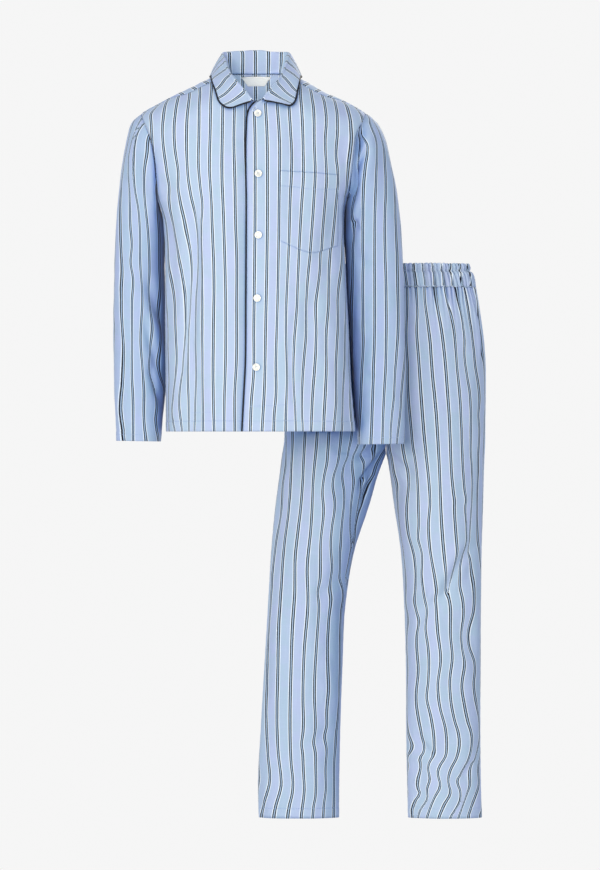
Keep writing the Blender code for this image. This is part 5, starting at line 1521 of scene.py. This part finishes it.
def striped_cotton(name, shades):
    """Woven cotton with groups of fine stripes: dark, pale and dark between two white ones, and painted shade
    for each of shades.
    """
    made, tree = new_material(name)
    uv = linked(tree, "ShaderNodeUVMap", {"uv_map": CLOTH_MAP}).outputs[0]
    parts = linked(tree, "ShaderNodeSeparateXYZ", Vector=uv)
    number, up = parts.outputs[0], parts.outputs[1]
    off = maths(tree, "MULTIPLY", maths(tree, "PINGPONG", number, 0.5), 2.0)
    band = maths(tree, "FLOORED_MODULO", maths(tree, "FLOOR", number), 2.0)
    place = linked(tree, "ShaderNodeTexCoord").outputs["Object"]
    blotches = linked(tree, "ShaderNodeTexNoise", Vector=place, Scale=24.0, Detail=3.0, Roughness=0.6)
    patch = ramp(tree, blotches.outputs[0], PATCHES)
    hue = maths(tree, "ADD", maths(tree, "MULTIPLY", band, LILAC_BAND), patch)
    ground = mixed(tree, hue, (*SKY, 1), (*LILAC, 1))
    color = mixed(tree, ramp(tree, off, GROUND), ramp(tree, off, GROUP), ground)

    # Single threads: streaks along and across the cloth.
    warp, weft = (WARP_STREAKS, WARP_CHANGES, 1.0), (WEFT_CHANGES, WEFT_STREAKS, WEFT_SHARE)
    for across, along, share in (warp, weft):
        coords = linked(tree, "ShaderNodeCombineXYZ", X=maths(tree, "MULTIPLY", number, across),
                        Y=maths(tree, "MULTIPLY", up, along))
        noise = linked(tree, "ShaderNodeTexNoise", {"noise_dimensions": "2D"}, Vector=coords.outputs[0],
                       Scale=1.0, Detail=2.0, Roughness=0.6)
        color = mixed(tree, share, color, ramp(tree, noise.outputs[0], STREAKS), "MULTIPLY")
    # Painted shade: cloth deep in a fold or near other cloth is made darker and bluer in its colour, by how
    # open the space around it is.
    for shade in shades:
        open_share = linked(tree, "ShaderNodeAmbientOcclusion", {"samples": 8}, Distance=shade.reach)
        color = mixed(tree, 1.0, color, ramp(tree, open_share.outputs["AO"], shade.tones), "MULTIPLY")

    # The weave and a fine crumple.
    threads = maths(tree, "MULTIPLY",
                    maths(tree, "SINE", maths(tree, "MULTIPLY", number, WEAVE_ACROSS)),
                    maths(tree, "SINE", maths(tree, "MULTIPLY", up, WEAVE_UP)))
    crumple = linked(tree, "ShaderNodeTexNoise", Vector=place, Scale=42.0, Detail=3.0, Roughness=0.55)
    weave = linked(tree, "ShaderNodeBump", Strength=0.5, Distance=0.00003, Height=threads)
    worn = linked(tree, "ShaderNodeBump", Strength=0.35, Distance=0.0012, Height=crumple.outputs[0],
                  Normal=weave.outputs[0])
    return finished(made, color, worn, Roughness=0.82, Specular_IOR_Level=0.3, Sheen_Weight=0.18,
                    Sheen_Roughness=0.5)


def twill(name, color, scale):
    """A plain dark or pale tape with a fine diagonal rib."""
    made, tree = new_material(name)
    place = linked(tree, "ShaderNodeTexCoord").outputs["Object"]
    rib = linked(tree, "ShaderNodeTexWave", {"wave_type": "BANDS", "bands_direction": "DIAGONAL"},
                 Vector=place, Scale=scale, Distortion=0.6, Detail=2.0)
    noise = linked(tree, "ShaderNodeTexNoise", Vector=place, Scale=900.0, Detail=2.0)
    darker = tuple(RIB_DARKER * part for part in color)
    tone = mixed(tree, noise.outputs[0], (*darker, 1), (*color, 1))
    bump = linked(tree, "ShaderNodeBump", Strength=0.5, Distance=0.00015, Height=rib.outputs[0])
    return finished(made, tone, bump, Roughness=0.75, Sheen_Weight=0.04)


def pearl():
    """Pale shell with soft clouds under a clear polish."""
    made, tree = new_material("shell_pearl")
    place = linked(tree, "ShaderNodeTexCoord").outputs["Object"]
    clouds = linked(tree, "ShaderNodeTexNoise", Vector=place, Scale=260.0, Detail=3.0, Distortion=0.8)
    bump = linked(tree, "ShaderNodeBump", Strength=0.15, Distance=0.0002, Height=clouds.outputs[0])
    return finished(made, ramp(tree, clouds.outputs[0], PEARL_TONES), bump, Roughness=0.22,
                    Coat_Weight=0.35, Coat_Roughness=0.1)


# Building

HEM = 0.020
POCKET_HEM = 0.030
POCKET_LIFT = 0.0011  # from the front's cloth to the pocket's visible face
POCKET_THICK = 0.0009
COLLAR_THICK = 0.0014

# Where the line of each hem's stitches runs, as a share of the height of its piece.
FRONT_HEM_AT = HEM / 0.655
BACK_HEM_AT = HEM / 0.603
SLEEVE_HEM_AT = 1 - HEM / 0.62
LEG_HEM_AT = HEM / 1.075
POCKET_HEM_AT = 1 - POCKET_HEM / 0.145
CASING_STITCH_AT = (CASING_STITCH_Z - WAIST_SEAM) / (WAIST_TOP - WAIST_SEAM)


def even(count):
    return np.linspace(0, 1, count)


def near(line, spread):
    """Shares close to a line that needs finer cloth."""
    return line + np.linspace(-spread, spread, 7)


def rows_at(*runs):
    """All the shares of some runs, in order and each of them once."""
    return np.unique(np.clip(np.concatenate(runs), 0, 1))


# Copies of one cloth that differ only in painted shade: folds and nearby cloth for most of the shirt, the
# sleeves darker all over, the right leg deep blue near other cloth, the left leg only in its folds, and none
# inside the yoke and on the casing.
cotton = striped_cotton("striped_cotton_painted_shade_folds", [NEAR_SHADE, FAR_SHADE])
shade_painted_sleeve_cloth = striped_cotton("striped_cotton_painted_shade_sleeve", [NEAR_SHADE, SLEEVE_SHADE])
fold_shade_painted_left_leg_cloth = striped_cotton("striped_cotton_painted_shade_left_leg", [NEAR_SHADE])
shade_painted_right_leg_cloth = striped_cotton("striped_cotton_painted_shade_right_leg", [NEAR_SHADE, THIGH_SHADE])
open_cotton = striped_cotton("striped_cotton_inside", [])
navy = twill("navy_piping", srgb(3, 6, 18), PIPING_RIB)
cream = twill("cream_label", srgb(255, 252, 246), LABEL_RIB)
thread = twill("thread", srgb(196, 212, 238), THREAD_RIB)
shell_pearl = pearl()
fine_pieces = {}
shells = {}


def keep(fine, stripes, materials, lining=None):
    """The shell of a fine grid, kept under the piece's name."""
    piece = shell(fine, stripes, lining)
    for material in materials:
        piece.data.materials.append(material)
    fine_pieces[fine.name] = fine
    shells[fine.name] = piece


def make(name, place, columns, rows, outer, edges, number, anchor, sign, pitch=WIDE_PITCH, closed=False,
         extra=None, material=cotton, degree=CALM_DEGREE):
    """A piece whose stripes are counted from its column at the share anchor, rising or falling by sign."""
    fine, points, normals, pulled = fine_grid(name, place, columns, rows, outer, edges, closed, extra=extra)
    column = int(round(anchor * (len(columns) - 1)))
    stripes = counted(points, normals, number, column, sign, pitch)
    keep(fine, calmed(stripes, rows, normals, degree) + pulled / pitch, [material])


shirt_rows = rows_at(even(190), near(HEM / 0.70, 0.0045))
make("shirt_front_left", front(LEFT), even(66), shirt_rows, LEFT,
     Edges(FREE, SEAMED, HEM, SEAMED), between_lines("shirt_front_left"), anchor=0, sign=1)
make("shirt_front_right", front(RIGHT), even(72), shirt_rows, RIGHT,
     Edges(FREE, SEAMED, HEM, SEAMED), between_lines("shirt_front_right"), anchor=0, sign=-1)
make("shirt_back", shirt_back, even(112), rows_at(even(150), near(HEM / 0.60, 0.005)), 1,
     Edges(SEAMED, SEAMED, HEM, SEAMED), back_stripe, anchor=0.5, sign=-1, degree=BACK_DEGREE)


def yoke_stripe(points):
    """The yoke's stripes, which lean away at its strip in front of the shoulder line."""
    x, z = points[..., 0], points[..., 2]
    inside = np.minimum(np.abs(x), YOKE_STEP)
    number = inside / YOKE_INNER_PITCH + (np.abs(x) - inside) / YOKE_OUTER_PITCH
    strip = smooth(SHOULDER, "x", "z", x) - YOKE_FRONT_DROP / 2
    lean = np.clip(z - strip, -YOKE_LEAN_REACH, YOKE_LEAN_REACH) * YOKE_LEAN / YOKE_OUTER_PITCH
    lean = np.where(points[..., 1] < 0, lean, YOKE_LEAN_REACH * YOKE_LEAN / YOKE_OUTER_PITCH)
    return np.sign(x) * (number - lean)


def lining_stripe(points):
    """The stripes of the cloth seen inside the neck."""
    return (points[..., 0] - NECK_STRIPE_X) / NECK_PITCH


fine, points, _, _ = fine_grid("shirt_yoke", yoke, even(150), even(46), 1,
                               Edges(SEAMED, SEAMED, SEAMED, SEAMED))
keep(fine, yoke_stripe(points), [cotton, open_cotton], lining_stripe(points))
faces_a_side = (len(fine.rows) - 1) * (len(fine.columns) - 1)
for face in shells["shirt_yoke"].data.polygons[faces_a_side:2 * faces_a_side]:
    face.material_index = 1


def turned_sleeve(side):
    """A sleeve whose shares start and end at the seam under the arm."""
    place = sleeve(side)
    return lambda around, along: place(around - 0.5, along)


sleeve_rows = rows_at(even(165) ** 1.1, near(1 - HEM / 0.6, 0.006))
for side, name in ((LEFT, "shirt_sleeve_left"), (RIGHT, "shirt_sleeve_right")):
    make(name, turned_sleeve(side), even(97), sleeve_rows, side, Edges(None, None, SEAMED, HEM),
         between_lines(name), anchor=0.75, sign=-side, pitch=SLEEVE_PITCH, closed=True,
         extra=underarm(side), material=shade_painted_sleeve_cloth, degree=SLEEVE_DEGREE)


def collar_stripe(at, out, points):
    """The stripes change from the roll's to the edge's, and stand upright inside the back of the neck."""
    fall = eased((out - STAND_SHARE) / (1 - STAND_SHARE))
    roll = smooth(ROLL_STRIPES, "at", "number", at)
    edge = smooth(EDGE_STRIPES, "at", "number", at)
    upright = eased((STAND_UPRIGHT - np.abs(at - 0.5)) / STAND_BLEND)
    upright = upright * eased((FALL_SHARE - out) / STAND_SHARE)
    slanted = roll + (edge - roll) * fall
    return slanted + (lining_stripe(points) - slanted) * upright


corner = COLLAR_CORNER[0] * (1 - np.cos(np.linspace(0, math.pi / 2, 9)))
collar_columns = np.concatenate([
    corner[:-1], np.linspace(corner[-1], 1 - corner[-1], 170), 1 - corner[::-1][1:]])
collar_rows = np.concatenate([
    np.linspace(0, STAND_SHARE, 8)[:-1], np.linspace(STAND_SHARE, FALL_SHARE, 10)[:-1],
    np.linspace(FALL_SHARE, 1, 20)])
fine, points, _, _ = fine_grid("shirt_collar", collar, collar_columns, collar_rows, 1,
                               Edges(FREE, FREE, SEAMED, FREE), wall=COLLAR_THICK)
at, out = np.meshgrid(collar_columns, collar_rows)
keep(fine, collar_stripe(at, out, points), [cotton])


def fine_pocket(across, up):
    """The pocket, as a function of the shares across and up, on the fine cloth of the front."""
    x = smooth(POCKET, "across", "x", across)
    low, high = smooth(POCKET, "across", "bottom", across), smooth(POCKET, "across", "top", across)
    share_across, share_up = front_shares(LEFT, x, low + (high - low) * up)
    points, normal = on_fine(fine_pieces["shirt_front_left"], share_across, share_up)
    return points + normal * POCKET_LIFT


def plain_grid(name, place, columns, rows, outer, edges, wall):
    """A piece that lies on a fine one, so it has that one's folds and none of its own."""
    across, up = np.meshgrid(columns, rows)
    points = place(across, up)
    normals = grid_normals(points, outer, False)
    moved = points + normals * edge_relief(edge_lengths(points), edges)[..., None]
    return Fine(name, columns, rows, moved, grid_normals(moved, outer, False), outer, False, wall), points


pocket_grid_rows = rows_at(even(52), near(POCKET_HEM_AT, 0.01))
fine, points = plain_grid("shirt_pocket", fine_pocket, even(44), pocket_grid_rows, 1,
                          Edges(FREE, FREE, FREE, POCKET_HEM), POCKET_THICK)
keep(fine, between_lines("shirt_front_left")(points[..., 0], points[..., 2]), [cotton])
fine, points = plain_grid("shirt_neck_label", neck_label, even(40), even(14), 1,
                          Edges(FREE, FREE, FREE, FREE), LABEL_WALL)
keep(fine, points[..., 0], [cream])

# The legs have more rows in the pleats and at their stitched hems, and in front at the crotch's folds.
back_rows = rows_at(np.linspace(0, 0.9, 120), np.linspace(0.9, 1, 30), near(LEG_HEM_AT, 0.004))
front_rows = rows_at(np.linspace(0, 0.9, 132), np.linspace(0.9, 1, 34), np.linspace(0.585, 0.735, 44),
                     near(LEG_HEM_AT, 0.004))
for side, side_name in ((LEFT, "left"), (RIGHT, "right")):
    for face, face_name, rows in ((FRONT, "front", front_rows), (BACK, "back", back_rows)):
        name = f"trousers_{face_name}_{side_name}"
        number = between_lines(name, TROUSER_PITCH) if face == FRONT else leg_stripe(side)
        make(name, trouser_panel(side, face), even(LEG_COLUMNS), rows, side * face,
             Edges(SEAMED, SEAMED, HEM, SEAMED), number, anchor=0.5, sign=-side, pitch=TROUSER_PITCH,
             extra=lambda points, normals: gathered(points),
             material=fold_shade_painted_left_leg_cloth if side == LEFT else shade_painted_right_leg_cloth,
             degree=CALM_DEGREE if face == FRONT else BACK_DEGREE)
make("trousers_waistband", round_waist, even(GATHER_POINTS * WAIST_GATHERS + 1), even(20), 1,
     Edges(None, None, SEAMED, FREE), waist_stripe, anchor=0.75, sign=1, pitch=WAIST_PITCH, closed=True,
     extra=lambda points, normals: gathered(points) + waist_relief(points), material=open_cotton)


# Trim


def tube(name, path, radius, material, sides=4):
    """A round piping through the points of a path."""
    curve = bpy.data.curves.new(name, "CURVE")
    curve.dimensions = "3D"
    curve.bevel_depth = radius
    curve.bevel_resolution = sides
    curve.use_fill_caps = True
    spline = curve.splines.new("POLY")
    spline.points.add(len(path) - 1)
    for spot, point in zip(spline.points, path):
        spot.co = (*point, 1)
    curve.materials.append(material)
    return in_scene(name, curve)


def edge_path(fine, across, up, aside):
    """A path along the edge of a fine piece, this far outside it and in the middle of its wall."""
    points, normals = on_fine(fine, across, up)
    along = np.gradient(points, axis=0)
    out = np.cross(along, normals)
    out /= np.linalg.norm(out, axis=-1, keepdims=True)
    return points + out * aside - normals * fine.wall / 2


up = np.linspace(0, PIPING_END, 240)
front_cord = tube("front_piping_cord", edge_path(fine_pieces["shirt_front_left"], 0 * up, up, PIPING_ASIDE),
                  PIPING_RADIUS, navy)
down = np.linspace(FALL_SHARE, 1, 24)[:-1]
along = collar_columns
at = np.concatenate([0 * down, along, 0 * down + 1])
out = np.concatenate([down, np.ones(len(along)), down[::-1]])
collar_cord = tube("collar_piping_cord", edge_path(fine_pieces["shirt_collar"], at, out, PIPING_ASIDE),
                   PIPING_RADIUS, navy)

STITCH_LENGTH = 0.0026
STITCH_GAP = 0.0010
STITCH_RADIUS = 0.00032
STITCH_RINGS = [(0, -0.6), (0.25, 0.5), (0.75, 0.5), (1, -0.6)]  # how far along, and how high in radii
STITCH_SIDES = 4


def stitched(name, paths, material):
    """Rows of single stitches, as one mesh. Each path is a run of points and the normals there."""
    verts, faces = [], []
    shares, heights = np.array(STITCH_RINGS).T
    turns = np.arange(STITCH_SIDES)
    for points, normals in paths:
        gone = np.concatenate([[0], np.cumsum(np.linalg.norm(np.diff(points, axis=0), axis=-1))])
        starts = np.arange(0, gone[-1] - STITCH_LENGTH, STITCH_LENGTH + STITCH_GAP)
        for start in starts:
            spots = start + STITCH_LENGTH * shares
            place = np.stack([np.interp(spots, gone, points[:, i]) for i in range(3)], axis=-1)
            lift = np.stack([np.interp(spots, gone, normals[:, i]) for i in range(3)], axis=-1)
            ahead = place[-1] - place[0]
            ahead /= np.linalg.norm(ahead)
            side = np.cross(ahead, lift[0])
            side /= np.linalg.norm(side)
            rings = len(verts) + STITCH_SIDES * np.arange(len(shares))[:, None] + turns
            for spot, normal, height in zip(place, lift, heights * STITCH_RADIUS):
                for angle in 2 * math.pi * (turns + 0.5) / STITCH_SIDES:
                    round_it = math.cos(angle) * side + math.sin(angle) * normal
                    verts.append(spot + normal * height + STITCH_RADIUS * round_it)
            for low, high in zip(rings, rings[1:]):
                faces.extend(zip(low, np.roll(low, -1), np.roll(high, -1), high))
            faces.append(tuple(np.roll(rings[0][::-1], 1)))
            faces.append(tuple(rings[-1]))
    piece = new_piece(name, np.array(verts), np.array(faces))
    piece.data.materials.append(material)
    return piece


def row_of(name, up, start=0.01, end=0.99, count=300):
    """The points and normals along a row of a piece, between two shares across it."""
    across = np.linspace(start, end, count)
    return on_fine(fine_pieces[name], across, up + 0 * across)


def column_of(name, across, start=0.01, end=0.99, count=300):
    """The points and normals up a column of a piece, between two shares up it."""
    up = np.linspace(start, end, count)
    return on_fine(fine_pieces[name], across + 0 * up, up)


LEG_PANELS = ("front_left", "front_right", "back_left", "back_right")

# Each row or column of stitches lies at one share of its piece and runs between two others.
shirt_hem = stitched("shirt_hem_stitches", [
    row_of("shirt_front_left", FRONT_HEM_AT, 0.08),
    row_of("shirt_front_right", FRONT_HEM_AT, 0.15),
    row_of("shirt_back", BACK_HEM_AT),
], thread)
sleeve_hems = stitched("sleeve_hem_stitches", [
    row_of("shirt_sleeve_left", SLEEVE_HEM_AT, 0, 1),
    row_of("shirt_sleeve_right", SLEEVE_HEM_AT, 0, 1),
], thread)
trouser_hems = stitched("trouser_hem_stitches", [
    row_of(f"trousers_{panel}", LEG_HEM_AT) for panel in LEG_PANELS
], thread)
yoke_seam = stitched("yoke_seam_stitches", [row_of("shirt_yoke", 0.955, 0.22, 0.78, 400)], thread)
pocket_rows = stitched("pocket_stitches", [
    column_of("shirt_pocket", 0.012, 0.012, 0.995),
    column_of("shirt_pocket", 0.988, 0.012, 0.995),
    row_of("shirt_pocket", 0.012, 0.012, 0.988),
    row_of("shirt_pocket", POCKET_HEM_AT, 0.02, 0.98),
], thread)
casing_rows = stitched("waist_stitches", [
    row_of("trousers_waistband", CASING_STITCH_AT, 0, 1, 2000),
    row_of("trousers_waistband", 0.05, 0, 1, 2000),
], thread)
label_rows = stitched("label_stitches", [row_of("shirt_neck_label", 0.93, 0.02, 0.98)], thread)
facing_rows = stitched("facing_stitches", [
    row_of("shirt_front_left", 0.075, 0.03, 0.20, 60),
    row_of("shirt_front_right", 0.055, 0.30, 0.50, 60),
], thread)

BUTTON_FACETS = 48
BUTTON_HEIGHT = 0.0030
BUTTON_LIFT = 0.0007  # from the cloth to the button's underside
BUTTON_MERGE = 1e-5
BUTTON_CREASE = math.radians(38)
HOLE_RADIUS = 0.00085
HOLE_ASIDE = 0.0014  # each hole's distance from the button's middle lines
HOLE_DEPTH = 0.02
HOLE_FACETS = 16
THREAD_RADIUS = 0.0004
THREAD_LIFT = 0.0016
THREAD_ARCH = 0.0004
THREAD_DIVE = 0.0009  # how far the ends of a button's thread go down into its holes
# Half of the button's section, from the middle of its face round to its underside, in shares of its size.
FINE_SECTION = [(0.0, 0.50), (0.40, 0.50), (0.58, 0.56), (0.70, 0.80), (0.80, 0.97), (0.88, 1.00),
                (0.96, 0.90), (1.0, 0.66), (0.97, 0.32), (0.86, 0.06), (0.70, 0.0), (0.0, 0.0)]


def built(name, shape):
    """A mesh of what shape makes in it."""
    mesh = bpy.data.meshes.new(name)
    build = bmesh.new()
    shape(build)
    build.to_mesh(mesh)
    build.free()
    return mesh


def hole_shape(build):
    bmesh.ops.create_cone(build, cap_ends=True, segments=HOLE_FACETS, radius1=HOLE_RADIUS,
                          radius2=HOLE_RADIUS, depth=HOLE_DEPTH)


def button_mesh():
    """A turned button with a raised rim and four holes."""
    section = [(r * BUTTON_RADIUS, 0, h * BUTTON_HEIGHT) for r, h in FINE_SECTION]
    mesh = bpy.data.meshes.new("button")
    mesh.from_pydata(section, [(i, i + 1) for i in range(len(section) - 1)], [])
    turned = in_scene("button", mesh)
    screw = turned.modifiers.new("turned", "SCREW")
    screw.steps = screw.render_steps = BUTTON_FACETS
    screw.use_merge_vertices = True
    screw.merge_threshold = BUTTON_MERGE
    helpers = [turned]
    for x in (-1, 1):
        for y in (-1, 1):
            cutter = in_scene("hole", built("hole", hole_shape))
            cutter.location = (x * HOLE_ASIDE, y * HOLE_ASIDE, 0)
            helpers.append(cutter)
            cut = turned.modifiers.new("hole", "BOOLEAN")
            cut.operation = "DIFFERENCE"
            cut.object = cutter
    bpy.context.view_layer.update()
    shape = bpy.data.meshes.new_from_object(turned.evaluated_get(bpy.context.evaluated_depsgraph_get()))
    shape.materials.clear()
    shape.materials.append(shell_pearl)
    shape.shade_smooth()
    shape.set_sharp_from_angle(angle=BUTTON_CREASE)
    for helper in helpers:
        bpy.data.objects.remove(helper)
    return shape


button_shape = button_mesh()
buttons = []
button_threads = []
for number, row in enumerate(BUTTONS, 1):
    x, z = np.array([row.x]), np.array([row.z])
    across, up = front_shares(LEFT, x, z)
    points, normals = on_fine(fine_pieces["shirt_front_left"], across, up)
    point, normal = Vector(points[0]), Vector(normals[0]).normalized()
    button = in_scene(f"fine_button_{number}", button_shape.copy())
    button.rotation_mode = "QUATERNION"
    button.rotation_quaternion = normal.to_track_quat("Z", "X")
    button.location = point + normal * BUTTON_LIFT
    buttons.append(button)
    side = button.rotation_quaternion @ Vector((1, 0, 0))
    rise = button.rotation_quaternion @ Vector((0, 1, 0))
    for across_at, letter in ((-1, "a"), (1, "b")):
        middle = button.location + side * (HOLE_ASIDE * across_at) + normal * THREAD_LIFT
        path = [middle + rise * (HOLE_ASIDE * t) + normal * (THREAD_ARCH * (1 - t * t) - THREAD_DIVE * t**6)
                for t in np.linspace(-1, 1, 9)]
        name = f"button_{number}_thread_{letter}"
        button_threads.append(tube(name, path, THREAD_RADIUS, thread, sides=2))


# The studio

PALE = 0.92
BACKDROP_RADIUS = 40
FLOOR_HALF = 30
FLOOR_Z = -1.62


def emitting(name, level):
    """A plain surface of one brightness."""
    made, tree = new_material(name)
    tree.nodes.clear()
    light = linked(tree, "ShaderNodeEmission", Color=(level, level, level, 1), Strength=1.0)
    out = tree.nodes.new("ShaderNodeOutputMaterial")
    tree.links.new(light.outputs[0], out.inputs[0])
    return made


def ball_shape(build):
    bmesh.ops.create_uvsphere(build, u_segments=48, v_segments=24, radius=BACKDROP_RADIUS)


def stage_sphere():
    mesh = built("backdrop", ball_shape)
    mesh.materials.append(emitting("backdrop_white", PALE))
    return in_scene("backdrop", mesh)


def floor_plane():
    mesh = bpy.data.meshes.new("floor")
    corners = [(x * FLOOR_HALF, y * FLOOR_HALF, 0) for x, y in ((-1, -1), (1, -1), (1, 1), (-1, 1))]
    mesh.from_pydata(corners, [], [(0, 1, 2, 3)])
    mesh.materials.append(emitting("floor_white", PALE))
    made = in_scene("floor", mesh)
    made.location = (0, 0, FLOOR_Z)
    return made


for thing in (stage_sphere(), floor_plane()):
    thing.visible_diffuse = False
    thing.visible_glossy = False
    thing.visible_shadow = False

world = bpy.data.worlds.new("studio")
world.use_nodes = True
sky = world.node_tree.nodes["Background"]
sky.inputs["Color"].default_value = (0.80, 0.90, 1.08, 1)
sky.inputs["Strength"].default_value = 0.64
bpy.context.scene.world = world


def area_light(name, place, target, size, power, color):
    """A round lamp that shines from a place to a target."""
    data = bpy.data.lights.new(name, "AREA")
    data.color = color
    data.shape = "DISK"
    data.size = size
    data.energy = power
    made = in_scene(name, data)
    made.location = place
    made.rotation_euler = (Vector(target) - Vector(place)).to_track_quat("-Z", "Y").to_euler()
    return made


MIDDLE = (0.088, 0.05, -0.70)
WARM = (1.0, 0.93, 0.78)
DAYLIGHT = (0.86, 0.94, 1.0)
area_light("key", (-3.4, -6.0, 0.4), MIDDLE, size=3.0, power=130, color=WARM)
area_light("front", (-0.8, -5.4, -0.4), MIDDLE, size=1.6, power=150, color=WARM)
area_light("fill", (2.6, -6.0, -0.9), MIDDLE, size=3.0, power=20, color=WARM)
area_light("behind", (1.5, 5.0, 1.6), MIDDLE, size=3.0, power=240, color=WARM)
# The daylight that comes through the thin cloth at the back of the neck.
inside = area_light("inside", (0.0, -0.02, -0.10), (0.0, 0.075, 0.0), size=0.08, power=0.11, color=DAYLIGHT)
inside.visible_camera = False

camera_data = bpy.data.cameras.new("camera")
camera_data.lens = 300
camera_data.sensor_fit = "VERTICAL"
camera_data.sensor_height = 36
camera_data.clip_end = 200
camera = in_scene("camera", camera_data)
camera.location = (0.088, -14.5, -0.71)
camera.rotation_euler = (math.pi / 2, 0, 0)
bpy.context.scene.camera = camera
bpy.context.scene.view_settings.view_transform = "Standard"

# What each piece stands for

for name, piece in shells.items():
    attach(piece, "root")
    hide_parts(name)
for number, button in enumerate(buttons, 1):
    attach(button, "root")
    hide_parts(f"shirt_button_{number}")
for piece, node in ((front_cord, "shirt_front_piping"), (collar_cord, "shirt_collar_piping")):
    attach(piece, "root")
    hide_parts(node)
for piece in [shirt_hem, sleeve_hems, trouser_hems, yoke_seam, pocket_rows, casing_rows, label_rows,
              facing_rows, *button_threads]:
    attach(piece, "root")

# The cut of a piece of cloth: its piece, width, length, flat area, held, rests_on and trim.
Cut = namedtuple("Cut", "piece width length area held rests_on trim")
